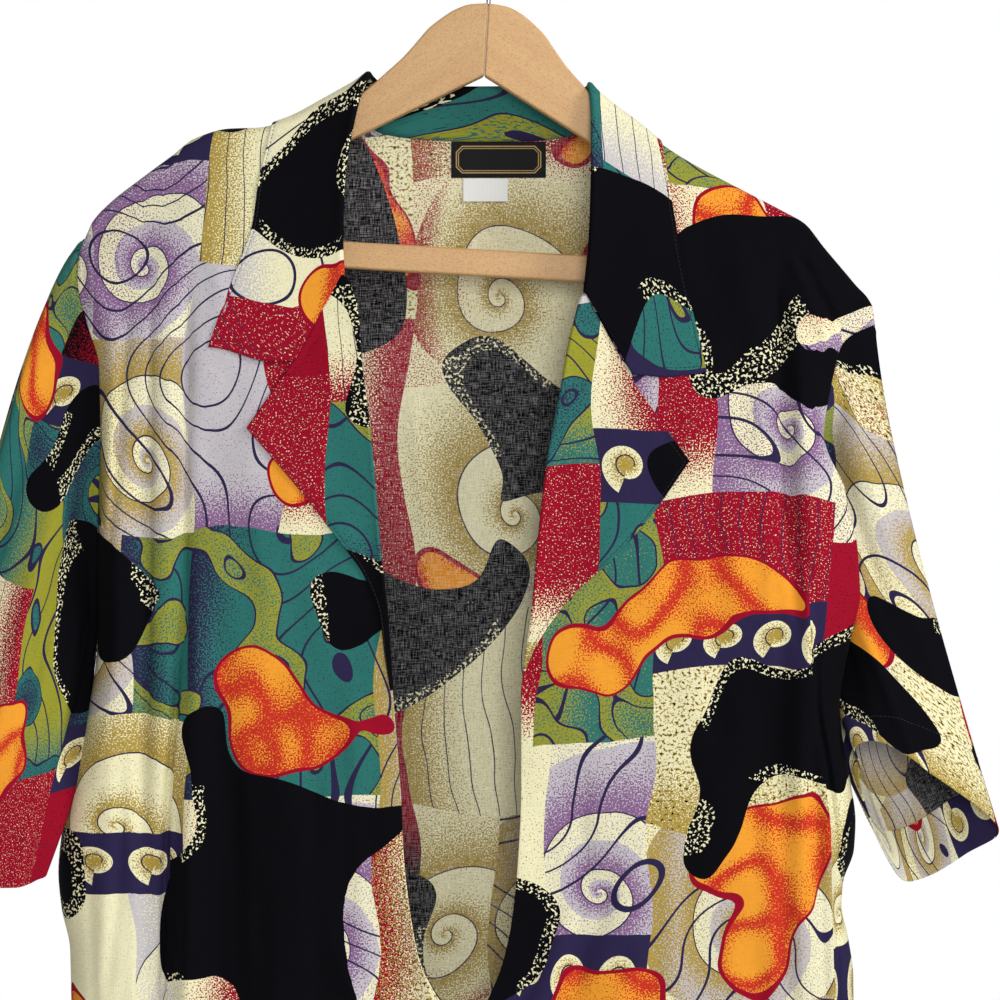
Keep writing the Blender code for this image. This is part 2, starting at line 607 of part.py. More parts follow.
def make_hook(tipped):
    """The hook: a round steel wire along its path, closed at both ends."""
    curve = bpy.data.curves.new("hanger_hook", "CURVE")
    curve.dimensions = "3D"
    curve.bevel_depth = WIRE_DIAMETER / 2 * MM
    curve.bevel_resolution = 2
    curve.use_fill_caps = True
    path = hook_path() * MM
    spline = curve.splines.new("POLY")
    spline.points.add(len(path) - 1)
    for point, (x, z) in zip(spline.points, path):
        point.co = (x, 0, z, 1)
    hook = bpy.data.objects.new("hanger_hook", curve)
    bpy.data.collections[OBJECT_NAME].objects.link(hook)
    curve.materials.append(finish("hanger_hook", (0.7, 0.7, 0.72), 0.25, 1.0))
    hook.parent = tipped


def make_hanger():
    """The wooden hanger, tipped down on the viewer's right about the hook."""
    tipped = bpy.data.objects.new("hanger_tip", None)
    bpy.data.collections[OBJECT_NAME].objects.link(tipped)
    tipped.rotation_euler = (0, math.radians(HANGER_TIP), 0)
    wood = (0.55, 0.36, 0.2)
    for side in ("left", "right"):
        board(f"hanger_arm_{side}", arm_outline(side), WOOD_THICKNESS, wood, tipped)
    ends = [(-BAR_HALF_LENGTH, BAR_TOP), (BAR_HALF_LENGTH, BAR_TOP), (BAR_HALF_LENGTH, BAR_BOTTOM),
            (-BAR_HALF_LENGTH, BAR_BOTTOM)]
    board("trouser_bar", ends, BAR_THICKNESS, wood, tipped)
    make_hook(tipped)


def main():
    for piece in list(bpy.data.objects):
        bpy.data.objects.remove(piece, do_unlink=True)
    bpy.context.scene.collection.children.link(bpy.data.collections.new(OBJECT_NAME))
    make_hanger()
    make_cloth()
    make_button()


main()
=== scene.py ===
"""An open camp-collar shirt on a wooden hanger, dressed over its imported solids.

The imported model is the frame: +Z up, the shirt's front faces -Y, +X is on the viewer's right, and the
origin is the inside top of the hanger's hook. Lengths in the tables and shape functions are millimetres,
and "drop" is the distance below the hook. Properties and meshes are in metres.
"""

import math
from types import SimpleNamespace

import bpy
import numpy as np
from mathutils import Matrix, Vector


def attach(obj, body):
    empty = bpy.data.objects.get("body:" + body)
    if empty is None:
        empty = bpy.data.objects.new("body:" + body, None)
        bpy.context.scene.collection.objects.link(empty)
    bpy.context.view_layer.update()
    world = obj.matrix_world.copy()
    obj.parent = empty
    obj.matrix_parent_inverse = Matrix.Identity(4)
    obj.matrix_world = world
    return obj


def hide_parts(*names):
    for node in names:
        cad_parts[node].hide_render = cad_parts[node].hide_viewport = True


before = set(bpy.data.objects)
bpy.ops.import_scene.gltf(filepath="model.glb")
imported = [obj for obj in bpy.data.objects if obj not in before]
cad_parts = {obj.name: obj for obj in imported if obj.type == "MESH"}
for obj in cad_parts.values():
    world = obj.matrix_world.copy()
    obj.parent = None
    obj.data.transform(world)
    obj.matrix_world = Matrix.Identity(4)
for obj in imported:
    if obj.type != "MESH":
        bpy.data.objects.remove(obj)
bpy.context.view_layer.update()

bl_info = {
    "name": "Camp-Collar Shirt on a Hanger",
    "version": (1, 0, 0),
    "blender": (4, 5, 0),
    "location": "View3D > Sidebar > Shirt",
    "description": "Dresses a hung, open shirt: printed cloth, stitching, label, hanger and light",
    "category": "Add Mesh",
}

MM = 0.001

# The cloth's large form, as the solids have it
HEM_DROP = 838.0
BACK_CENTRE_X = -15.0
WRAP_DROP = 8.0
WRAP_DEPTH = 9.5
FRONT_DEPTH = 32.0
FRONT_REACH = 85.0
BACK_DEPTH = 30.0
BACK_REACH = 32.0
FLAT_SHARE = 0.78
SEAM_GAP = 0.1
WALL = 1.6

# The fastening, where the fronts cross
LAP_X = -20.0
LAP_START, LAP_END = 700.0, 775.0
LAP_HALF_WIDTH = 60.0
LAP_STEP = 1.4
BUTTON_DROP = 792.0
BUTTON_THICKNESS = 2.4
BUTTON_LIFT = 0.6
HOLE_PLACE = 1.25
HOLE_RADIUS = 0.55
HOLE_DEPTH = 1.3
BUTTON_SIDES, BUTTON_RINGS = 64, 45
CROSSED_THREAD = (0.0036, 0.0007)
CROSSED_THREAD_SINK = 0.35

# The hanger, in its own frame before it tips
HANGER_TIP = math.radians(3.3)
WOOD_TOP = -70.0
WOOD_THICKNESS = 13.0
WOOD_EDGE_ROUND = 1.8
MITRE_GAP = 0.3
BAR_HALF_LENGTH = 219.0
BAR_TOP, BAR_BOTTOM = -237.0, -255.0
WIRE_RADIUS = 1.6
WIRE_SIDES = 16
HOOK_RADIUS = 20.0
HOOK_FROM, HOOK_TO = -50.0, 214.0  # degrees round the bow
HOOK_BEND_PULL = 24.0
WOOD_LEAN = 0.62
WOOD_SHADE = {"left": 0.93, "right": 1.04}

# The labels inside the back neck
LABEL_SIZE = (65.0, 24.5)
LABEL_PLACE = (-29.5, 161.0)
TAB_SIZE = (31.0, 16.0)
TAB_PLACE = (-21.5, 185.9)
LABEL_WALL = 0.0006
# The gold border's distance in from the label's sides, its ends and its clipped corners
BORDER_SIDE, BORDER_END, BORDER_CORNER = 3.6, 3.2, 10.8

SIDES = ("left", "right")
SIGN = {"left": -1.0, "right": 1.0}

# Where each piece starts on the printed cloth, in mm, chosen so that the colours lie much as in the photo
PRINT_START = {
    "back": (1510.0, 426.0), "front_left": (-1125.0, 772.0), "front_right": (2935.0, 820.0),
    "sleeve_left": (3640.0, 1500.0), "sleeve_right": (480.0, 1500.0),
    "lapel_left": (905.0, 300.0), "lapel_right": (2310.0, 700.0), "collar": (1640.0, 2520.0),
}
# The column of a front's grid that keeps its own place across the print, counted back from the side seam
FRONT_PRINT_COLUMN = 23

# Turned-in edges: the fold's radius, the gap between two layers, and the distances in from the edge at which
# the face has a row of points
FOLD_RADIUS = 0.7
LAYER_GAP = 0.15
EDGE_POINTS = np.array([1.6, 2.6, 4.0, 6.0, 8.5])
# How far above the hem's strip a turned edge begins to go deeper, over the hem's turning, and how soon it does
EDGE_OVER_HEM, EDGE_OVER_HEM_REACH = 14.0, 10.0

# How the slow waves fade in below the shoulder line, and how far they are moved along on the back
FRONT_SWELL_REACH = 60.0
BACK_SWELL_START, BACK_SWELL_REACH, BACK_SWELL_SHIFT = 90.0, 120.0, 37.0

# How far the back turns at the armhole, in degrees: at its top, and how much more at the underarm
BACK_TURN_TOP, BACK_TURN_MORE = 30.0, 60.0

# The distances over which a lapel's roll grows at its top and dies away at its foot
ROLL_TOP_REACH, ROLL_FOOT_REACH = 14.0, 50.0
# The grid's column along the middle of the roll
COLLAR_ROLL_COLUMN, LAPEL_ROLL_COLUMN = 13, 12

# Stitches: how far they stand off the cloth, and the relief that they pull into a collar's or lapel's edge
STITCH_LIFT = 0.12
# Where the stitching runs on the sheets' grids: rows in from the outer edge or up from the hem, columns in
# from the ends, and the row where it starts at the collar's ends and at a lapel's notch
EDGE_ROWS, HEM_ROWS, SLEEVE_HEM_ROWS = 5.6, 20.4, 22.0
COLLAR_END, COLLAR_START = 4.4, 22.0
LAPEL_END, LAPEL_START, LAPEL_FOOT = 3.6, 19.0, 4.0
HEM_FIRST_COLUMN = 18
NECK_STITCH_X, NECK_STITCH_DROP, NECK_STITCH_START = (-88.0, 66.0), 1.6, 1.5
GROOVE, SWELLING, RELIEF_WIDTH = 0.28, 0.14, 0.8
# Distances from a stitched edge at which the collar and the lapels have a row of points
NEAR_EDGE = np.array([5.5, 4.2, 3.3, 2.8, 2.3, 1.8, 1.3, 0.8, 0.4, 0.0])[None, :]

# The rise before a deep fold's line and the trough after it: reach inwards, reach outwards, then the
# trough's depth as a share of the height, its place past the line and its half width
LEDGE_IN, LEDGE_OUT = 10.0, 1.5
TROUGH_SHARE, TROUGH_PLACE, TROUGH_WIDTH = 1.3, 3.6, 2.0

# The print, in mm on the flat cloth, and the levels of noise at which its large shapes begin
WANDER = 34.0
BLOCK_WIDTH = 132.0
SPRAY_REACH = 44.0
LEAF_SIZE, LEAF_LEVEL, VEIN_LEVEL = 44.0, 0.535, 0.635
CURL_PITCH = 33.0
WARM_LEVEL = 0.69
DARK_LEVEL, SPRINKLE_LEVEL = 0.568, 0.6
# Where a block's luck passes from one ground to the next: crimson, cream, lilac, olive, teal
CREAM_FROM, LILAC_FROM, OLIVE_FROM, TEAL_FROM = 0.31, 0.56, 0.76, 0.82

# The studio, in metres: the photo's width at the hanger, its middle, and each light's place, size and share
PHOTO_WIDTH = 0.68
PHOTO_MIDDLE = (0.004, -0.407)
SENSOR_WIDTH = 36.0
LIGHT_AIM = (0.0, 0.0, -0.42)
LIGHTS = {
    "key": ((2.3, -1.25, 1.0), 1.0, 1.0),
    "fill": ((0.35, -2.7, 0.1), 1.1, 0.66),
    "rear": ((-0.8, 2.4, 0.9), 1.9, 0.8),
}
FLOOR_RADIUS = 2.6


def table(names, *rows):
    """A short table, as one array for each named column."""
    return dict(zip(names.split(), np.array(rows, float).T))


# The line that the shoulder seams follow, and on across the neck
SHOULDER = table(
    "x drop",
    (-278, 229), (-273, 218), (-261, 205), (-242, 190), (-219, 173), (-203, 161), (-180, 154.5),
    (-160, 153.8), (-141, 148.5), (-115, 135), (-100, 127), (-83, 119.5), (-55, 115.5), (-10, 114),
    (40, 116), (58, 122), (66, 128), (80, 138.5), (99, 152.5), (114, 165), (133, 177.3), (171, 197.5),
    (198, 211.5), (211, 219), (224, 235), (245, 260), (257, 275), (259, 288),
)

# The back's upper edge across the neck
NECKLINE = table(
    "x drop",
    (-100, 127), (-96, 137), (-89, 148), (-76, 156), (-50, 159.5), (-15, 161), (25, 160.5),
    (52, 157.5), (64, 149.6), (71, 142), (76, 136),
)

# Each front's inner edge: the neck seam under the collar, the lapel's roll, then the front edge
FRONT_EDGE = {
    "left": table(
        "drop x",
        (127, -100), (138, -107), (155, -113), (180, -115.5), (205, -115), (228, -112), (242, -109),
        (254, -106), (258, -99), (265, -96), (277, -92), (315, -89), (354, -84), (397, -80), (435, -77),
        (489, -71), (520, -69), (571, -65), (611, -62), (645, -60.5), (679, -57), (713, -51), (738, -39),
        (755, -27), (775, -13), (792, -7), (815, -6), (838, -7),
    ),
    "right": table(
        "drop x",
        (136, 76), (150, 83), (175, 87), (205, 85.5), (235, 79), (252, 71), (266.5, 65.2), (270.5, 58.5),
        (283, 55), (303, 50),
        (332, 45), (373, 37), (421, 31), (475, 26), (513, 21), (540, 18), (605, 18), (648, 16),
        (689, 12), (717, 6), (740, -3), (757, -13), (775, -26), (792, -32), (815, -33), (838, -32),
    ),
}

# Each side's seams: the armhole down to the underarm, then the side seam. The cloth turns back round the
# side by "turn" degrees over a curve "round" wide.
SEAM = {
    "left": table(
        "drop x front_y back_y round turn",
        (229, -278, -0.05, 0.05, 20, 30), (240, -281, -8, 8, 20, 30), (257, -282, -12, 12, 20, 30),
        (288, -275, -15, 15, 20, 30), (317, -267, -16, 16, 20, 30), (367, -266, -16, 16, 20, 32),
        (421, -268, -14, 14, 20, 40), (470, -269, -9, 9, 20, 60), (509, -270, -0.05, 0.05, 20, 85),
        (560, -277, -0.05, 0.05, 20, 90), (600, -286, -0.05, 0.05, 22, 90),
        (640, -294.5, -0.05, 0.05, 24, 90), (660, -296, -0.05, 0.05, 24, 90),
        (683, -294, -0.05, 0.05, 24, 90), (713, -288, -0.05, 0.05, 24, 90),
        (838, -286, -0.05, 0.05, 26, 90),
    ),
    "right": table(
        "drop x front_y back_y round turn",
        (288, 259, -0.7, 0.7, 18, 30), (291, 251, -5, 5, 18, 30), (297, 240, -9, 10, 18, 30),
        (304, 234.5, -11.5, 13, 18, 30), (316, 231, -14, 16, 18, 34), (340, 226, -14, 16, 18, 50),
        (362, 223, -12, 16, 20, 80), (385, 222, -11, 16, 24, 120), (413, 222, -10, 15, 32, 148),
        (448, 226, -9, 13, 38, 150), (480, 229, -8, 10, 36, 150), (512, 231, -4, 6, 26, 140),
        (543, 232, -0.05, 0.05, 20, 120), (575, 237, -0.05, 0.05, 18, 95), (600, 242, -0.05, 0.05, 20, 90),
        (626, 245.5, -0.05, 0.05, 22, 90), (645, 244.5, -0.05, 0.05, 22, 90),
        (668, 237, -0.05, 0.05, 22, 90), (683, 236, -0.05, 0.05, 22, 90),
        (702, 240, -0.05, 0.05, 24, 90), (731, 244, -0.05, 0.05, 24, 90),
        (838, 245, -0.05, 0.05, 26, 90),
    ),
}
UNDERARM_DROP = {"left": 509.0, "right": 543.0}

# Folds and creases: each a bell this wide to either side of a leaning line, which swings out sideways by
# "bow" at its middle. It stands out from the cloth, or goes into it, by "out".
FOLD_NAMES = "x_top drop_top x_bottom drop_bottom half_width out bow"
FOLD_FADE = 0.22
LARGE_FOLDS = {
    "front": table(
        FOLD_NAMES,
        (-219, 225, -222, 640, 9, 4, 0), (-207, 235, -207, 560, 5, -3.5, 0),
        (-207, 430, -226, 1000, 8, -8, 0), (-202, 440, -210, 1000, 12, 11, 0),
        (-184, 470, -184, 1000, 10, -4, 0), (-250, 300, -262, 1000, 15, 6, 0),
        (-235, 320, -238, 700, 6, -3, 0), (-140, 520, -128, 1000, 24, 4, 0), (192, 235, 206, 520, 6, -5, 0),
        (214, 300, 220, 620, 13, 5, 0), (200, 430, 222, 1000, 10, 8, 0), (212, 520, 231, 1000, 6, -6, 0),
        (160, 330, 150, 1000, 26, 3, 0), (88, 560, 82, 1000, 24, 4, 0),
    ),
    "back": table(
        FOLD_NAMES,
        (-205, 260, -215, 1000, 22, 6, 0), (-150, 330, -140, 1000, 20, -4, 0),
        (-95, 300, -85, 1000, 26, 5, 0), (-20, 380, -22, 1000, 26, -3, 0), (60, 320, 52, 1000, 26, 5, 0),
        (120, 330, 112, 1000, 20, -4, 0), (175, 280, 185, 1000, 22, 6, 0),
    ),
}
CREASES = {
    "front": table(
        FOLD_NAMES,
        (-231, 250, -235, 640, 2.6, -2.9, 1.5), (-206, 262, -209, 520, 2.4, -2.7, 0),
        (-247, 262, -262, 470, 4, -2.5, 3), (-262, 320, -266, 540, 4, 2.2, 2),
        (-197, 480, -193, 820, 3.2, 3.1, 1), (-176, 540, -170, 900, 5, -2.2, 2),
        (-250, 560, -262, 760, 4.5, -2.7, 4), (-238, 590, -240, 930, 5, 2.7, -3),
        (-272, 640, -268, 900, 4.5, -2.5, 2), (-168, 330, -150, 560, 9, 1.5, 3),
        (-120, 560, -116, 800, 7, -1.7, -2), (-96, 520, -88, 760, 6, 1.5, 1),
        (-150, 640, -146, 980, 8, 2, 3), (-188, 190, -176, 330, 7, 0.9, -4),
        (-62, 640, -12, 840, 5, 2.2, -6), (-84, 660, -18, 850, 6, -2, -9), (-110, 690, -20, 870, 6, 2, -12),
        (190, 245, 199, 440, 2.6, -3.2, -1), (205, 300, 214, 560, 4, 2.5, -2),
        (176, 300, 186, 560, 6, 1.5, 2), (146, 330, 150, 620, 8, -1.4, 2), (184, 560, 196, 900, 7, 2.2, -3),
        (206, 600, 214, 960, 4, -2.5, 2), (120, 560, 112, 860, 8, 1.7, 2), (62, 560, 56, 760, 6, -1.5, -1),
        (60, 655, -8, 820, 5, 2.4, 7), (84, 640, 0, 835, 6, -2.2, 10), (112, 680, 6, 850, 7, 2.2, 12),
        (38, 690, -4, 790, 3.5, -1.9, 3), (160, 205, 176, 330, 8, 0.9, 4),
        (204, 236, 241, 306, 2.2, -3.4, 0), (196, 232, 232, 318, 5, 2, 0),
    ),
    "back": table(
        FOLD_NAMES,
        (-60, 300, -40, 560, 7, -2, 4), (10, 330, 22, 620, 8, 1.9, -4), (-36, 480, -28, 800, 7, 1.9, 3),
        (0, 560, -6, 860, 6, -1.9, 3), (-190, 300, -196, 640, 6, -2.2, 3),
        (-232, 320, -246, 860, 6, -3.1, -3), (-120, 420, -112, 900, 7, 2.4, 3),
        (90, 400, 84, 880, 7, 2.2, -3), (148, 320, 154, 720, 6, -2.4, -3), (204, 330, 214, 860, 6, -3.1, 3),
        (-260, 560, -266, 1000, 5, 2.5, 2), (226, 600, 232, 1000, 5, 2.5, -2),
        (-170, 560, -160, 1000, 8, 2, 2), (36, 600, 30, 1000, 8, -2, 2), (126, 620, 120, 1000, 7, 2, -2),
    ),
}
# The deep folds down the fronts' outer parts: the cloth steps down past this line, and hides this much of
# itself
PLEAT = {
    "left": table(
        "drop x hidden height",
        (475, -207, 0, 0), (540, -210, 8, 2.4), (611, -216, 16, 3.0), (659, -217.5, 20, 3.0),
        (838, -222, 24, 2.6),
    ),
    "right": table(
        "drop x hidden height",
        (430, 200, 0, 0), (477, 211, 8, 2.0), (543, 213.5, 14, 2.8), (591, 221.5, 20, 3.0),
        (632, 226, 24, 3.0), (838, 230, 28, 2.6),
    ),
}
# Slow unevenness over every panel: waves across and down the cloth, in their own lengths
SWELLS = table(
    "height length_x length_drop phase",
    (0.7, 118, 310, 0.4), (0.5, -74, 205, 2.1), (0.35, 43, 150, 4.0), (0.25, -29, 96, 1.2),
)

# The collar, from its left front end round the back of the neck to its right one. Over is measured across
# the shoulder line: forward is less than 0, backward more. Rise is how far the fold stands up.
COLLAR = table(
    "roll_x roll_over edge_x edge_over seam_x seam_over rise",
    (-100, -127.6, -192, -147.5, -101, -126.6, 1.6), (-101, -105, -178, -110, -106, -106, 1.8),
    (-100, -64, -163, -68, -112, -66, 2.0), (-96, -38, -159, -40, -111, -36, 2.2),
    (-90, -13, -154, -16, -106, -13, 2.4), (-83, 0, -150, 0, -98.4, 0.6, 2.4),
    (-72, 7, -139, 16, -94, 16, 2.6), (-50, 10, -100, 40, -70, 41, 2.8),
    (-12, 11, -14, 58, -12, 46, 2.8), (28, 10, 62, 46, 40, 43, 2.8), (52, 7, 98, 18, 62, 24, 2.6),
    (63, 0, 113, 0, 73.4, 0.6, 2.4), (65, -20, 116, -14, 81, -16, 2.2),
    (65, -45, 120, -36, 84, -42, 2.0), (64, -90, 127, -76, 80, -88, 1.8),
    (62, -120, 135, -108, 69, -117, 1.8), (59.5, -144, 143, -138, 60.5, -143, 1.6),
)
COLLAR_NOTCH_SHARE = 0.45
COLLAR_NOTCH = {"left": (9.0, -31.0), "right": (-5.4, -33.8)}
COLLAR_NOTCH_REACH = 1.6
COLLAR_LIFT = 1.8
NECK_TUCK = 0.3

# Each lapel: where a line across it leaves the roll, and where it ends at the outer edge
LAPEL = {
    "left": table(
        "roll_drop edge_x edge_drop",
        (255.6, -166, 358.6), (315, -134, 396), (370, -108, 429), (430, -86.5, 459), (474, -76.8, 484),
        (505, -73.4, 510), (534, -69.6, 535),
    ),
    "right": table(
        "roll_drop edge_x edge_drop",
        (268.6, 131, 380.8), (322, 108, 414), (380, 80, 446), (440, 50, 474), (500, 27.5, 506),
        (521, 20.8, 522),
    ),
}
LAPEL_NOTCH_SHARE = 0.49
LAPEL_NOTCH = {"left": 6.2, "right": 7.2}
LAPEL_LIFT = 1.5
LAPEL_ROLL_LIFT = 2.2
ROLL_BULGE = 2.6

# Each sleeve's hem, as eight points evenly numbered round it: top fold, front, underarm and rear, and the
# four between them
SLEEVE_HEM = {
    "left": table(
        "x y drop",
        (-392, -18, 603), (-372, -44, 645), (-338, -56, 664), (-312, -46, 664), (-302, -18, 652),
        (-318, 8, 634), (-348, 14, 618), (-378, 4, 600),
    ),
    "right": table(
        "x y drop",
        (341, -6, 627), (304, -28, 598), (268, -36, 573), (244, -20, 580), (262, 4, 640),
        (282, 16, 668), (306, 16, 660), (332, 8, 643),
    ),
}
SLEEVE_BOW = {"left": -13.0, "right": -8.0}
UNDERARM_BOW = {"left": 9.0, "right": -9.0}
UNDERARM_ANGLE, UNDERARM_HALF_ANGLE = 165.0, 38.0
# How a sleeve leaves the armhole: its pull along the heading, the most that the heading turns with the panels,
# in degrees, how much further out it points at the underarm, and its fall, least at the sides of the seam
SLEEVE_START = 55.0
HEADING_TURN = 75.0
UNDERARM_OUT = 0.6
LEAST_FALL, MORE_FALL = 0.25, 0.5
SLEEVE_EASE = 1.6
SLEEVE_SETBACK = {"left": 0.0, "right": 13.0}
SLEEVE_COLUMNS = 154
# At the seam: how deep and how far along a sleeve's edge is tucked in, then its ridge's height, place, width
TUCK_GAP, TUCK_SHARE = 0.25, 0.035
RIDGE_HEIGHT, RIDGE_PLACE, RIDGE_WIDTH = 0.5, 0.045, 0.02

# Creases along the sleeves: degrees round from the top fold, shares of the length, and the way out in mm
SLEEVE_CREASES = {
    "left": table(
        "round_top along_top round_end along_end half_width out",
        (58, 0.02, 40, 0.75, 7, -3.3), (84, 0.06, 66, 1.1, 8, 3.3), (104, 0.0, 92, 0.85, 6, -3.6),
        (128, 0.12, 120, 1.2, 8, 3.6), (146, 0.05, 140, 0.8, 6, -3.9), (28, 0.15, 20, 1.0, 8, 2.4),
        (165, 0.3, 158, 1.3, 7, 3), (225, 0.05, 235, 0.9, 8, 3.9), (262, 0.1, 268, 1.2, 9, -3.6),
        (300, 0.0, 305, 0.9, 9, 3.3), (335, 0.1, 338, 1.1, 8, -2.7),
    ),
    "right": table(
        "round_top along_top round_end along_end half_width out",
        (62, 0.05, 44, 0.8, 8, -3), (88, 0.1, 70, 1.15, 8, 3), (112, 0.05, 104, 0.9, 7, -3.3),
        (134, 0.15, 122, 1.25, 8, 4.2), (150, 0.3, 138, 1.3, 5, -3.9), (30, 0.1, 22, 1.0, 8, 2.4),
        (215, 0.1, 220, 1.0, 8, 3.3), (258, 0.05, 262, 1.1, 9, -3.3), (300, 0.1, 302, 1.2, 9, 3.3),
        (336, 0.0, 338, 0.9, 8, -2.7),
    ),
}


# ---------------------------------------------------------------- what a user would change


def length_property(name, description, default, least, most, precision=5):
    """A length that a user may change, in metres."""
    return bpy.props.FloatProperty(
        name=name, description=description, default=default, min=least, max=most, unit="LENGTH",
        precision=precision)


class ClothSettings(bpy.types.PropertyGroup):
    """Sizes of the cloth and its sewing."""

    thickness: length_property(
        "Cloth thickness", "Thickness of one layer of the printed cloth", 0.00055, 0.0002, 0.001)
    collar_thickness: length_property(
        "Collar thickness", "Thickness of the collar and lapels, two layers and their interlining",
        0.0011, 0.0006, 0.0018)
    crease_depth: bpy.props.FloatProperty(
        name="Crease depth", description="Depth of the fine creases, as a share of a worn shirt's",
        default=1.0, min=0.0, max=1.5, subtype="FACTOR")
    hem_width: length_property("Hem width", "Width of the turned-up hem of the body", 0.02, 0.008, 0.04, 4)
    sleeve_hem_width: length_property(
        "Sleeve hem width", "Width of the turned-up hem of each sleeve", 0.024, 0.008, 0.04, 4)
    front_turning: length_property(
        "Front turning", "Width of the strip turned in behind each front edge", 0.014, 0.004, 0.03, 4)
    stitch_pitch: length_property(
        "Stitch pitch", "Distance from one stitch to the next", 0.0029, 0.0015, 0.006)
    stitch_length: length_property(
        "Stitch length", "Length of thread that shows in each stitch", 0.0022, 0.001, 0.005)
    thread_width: length_property("Thread width", "Thickness of the sewing thread", 0.00036, 0.0001, 0.001)
    stitch_inset: length_property(
        "Edge stitch inset", "Distance from the collar's and the lapels' edges to their stitching",
        0.0023, 0.001, 0.01)


def colour_property(name, description, default):
    """A colour that a user may change."""
    return bpy.props.FloatVectorProperty(
        name=name, description=description, default=default, min=0.0, max=1.0, size=3, subtype="COLOR")


class PrintSettings(bpy.types.PropertyGroup):
    """The colours of the print, and its scale."""

    scale: bpy.props.FloatProperty(
        name="Print scale", description="Size of the print, as a share of the drawn size",
        default=1.0, min=0.3, max=3.0, subtype="FACTOR")
    cream: colour_property("Cream", "The palest ground", (0.77, 0.73, 0.47))
    crimson: colour_property("Crimson", "The red ground and sprays", (0.29, 0.005, 0.02))
    navy: colour_property("Navy", "The dark blue-violet bands and pen lines", (0.025, 0.019, 0.06))
    teal: colour_property("Teal", "The blue-green ground", (0.026, 0.15, 0.132))
    olive: colour_property("Olive", "The yellow-green ground", (0.29, 0.28, 0.025))
    ochre: colour_property("Ochre", "The brown-gold sprays", (0.37, 0.26, 0.05))
    orange: colour_property("Orange", "The warm patches", (0.78, 0.31, 0.03))
    scarlet: colour_property("Scarlet", "The core of the warm patches", (0.52, 0.03, 0.018))
    lilac: colour_property("Lilac grey", "The grey ground", (0.50, 0.47, 0.49))
    purple: colour_property("Purple", "The sprays on the grey ground", (0.22, 0.11, 0.24))
    black: colour_property("Black", "The large dark shapes", (0.0035, 0.0035, 0.005))
    wrong_side: colour_property("Wrong side", "The pale tone that veils the print inside", (0.74, 0.72, 0.72))


class HangerSettings(bpy.types.PropertyGroup):
    """Colours of the hanger and the small parts."""

    wood: colour_property("Wood", "The hanger's pale hardwood", (0.60, 0.365, 0.163))
    wood_dark: colour_property("Wood pores", "The darker streaks and pores in the wood", (0.40, 0.19, 0.065))
    steel: colour_property("Hook", "The plated wire", (0.72, 0.72, 0.74))
    label: colour_property("Label", "The woven neck label", (0.003, 0.003, 0.0035))
    gold: colour_property("Label border", "The gold thread of the label's border", (0.50, 0.33, 0.13))
    tab: colour_property("Care tab", "The white tape", (0.83, 0.83, 0.80))
    thread: colour_property("Thread", "The edge stitching", (0.012, 0.010, 0.015))
    button: colour_property("Button", "The front button", (0.03, 0.022, 0.02))


class StageSettings(bpy.types.PropertyGroup):
    """The camera, the lights and the surroundings."""

    floor_drop: length_property("Floor", "Distance from the hook down to the floor", 1.75, 0.9, 2.5, 3)
    camera_distance: length_property(
        "Camera distance", "Distance from the camera to the hanger's plane", 2.4, 1.0, 6.0, 3)
    backdrop: colour_property("Surroundings", "The pale studio round the shirt", (1.0, 1.0, 1.0))
    key_power: bpy.props.FloatProperty(
        name="Key light", description="Power of the soft light above the viewer's right",
        default=55.0, min=0.0, max=500.0, unit="POWER")
    ambient: bpy.props.FloatProperty(
        name="Surrounding light", description="Strength of the even light from all sides",
        default=0.31, min=0.0, max=2.0, subtype="FACTOR")


# ---------------------------------------------------------------- curves and surfaces


def through(knots, values, at):
    """A curve through a table's rows, in cubic pieces with slopes so low that it never swings past a row."""
    rates = np.diff(values) / np.diff(knots)
    slopes = np.concatenate([rates[:1], np.zeros(len(rates) - 1), rates[-1:]])
    same = rates[:-1] * rates[1:] > 0
    slopes[1:-1][same] = 2 / (1 / rates[:-1][same] + 1 / rates[1:][same])
    at = np.clip(at, knots[0], knots[-1])
    piece = np.clip(np.searchsorted(knots, at) - 1, 0, len(rates) - 1)
    width = knots[piece + 1] - knots[piece]
    t = (at - knots[piece]) / width
    start, end = values[piece], values[piece + 1]
    bend = t * (1 - t) * width * (slopes[piece] * (1 - t) - slopes[piece + 1] * t)
    return start + (end - start) * t * t * (3 - 2 * t) + bend


def read(source, name, at, key="drop"):
    """A column of a table, read between its rows."""
    return through(source[key], source[name], at)


def ease(t):
    """A smooth step from 0 to 1."""
    t = np.clip(t, 0, 1)
    return t * t * (3 - 2 * t)


def spaced(*stops):
    """Numbers from stop to stop, given as a start and then pairs of (next stop, steps)."""
    numbers = [np.array(stops[:1], float)]
    for stop, steps in stops[1:]:
        numbers.append(np.linspace(numbers[-1][-1], stop, steps + 1)[1:])
    return np.concatenate(numbers)


def unit(vectors):
    """The vectors at length 1."""
    return vectors / np.maximum(np.linalg.norm(vectors, axis=-1, keepdims=True), 1e-9)


def shoulder_drop(x):
    """How far below the hook the shoulder line lies."""
    return read(SHOULDER, "drop", x, "x")


def stand_off(below, depth, reach):
    """How far the cloth stands off the hanger's plane: a quarter ellipse over the wood, then a slow swell."""
    wrap = np.clip(below / WRAP_DROP, 0, 1)
    swell = 1 - np.exp(-np.maximum(below - WRAP_DROP, 0) / reach)
    return SEAM_GAP / 2 + WRAP_DEPTH * np.sqrt(1 - (1 - wrap) ** 2) + (depth - WRAP_DEPTH) * swell


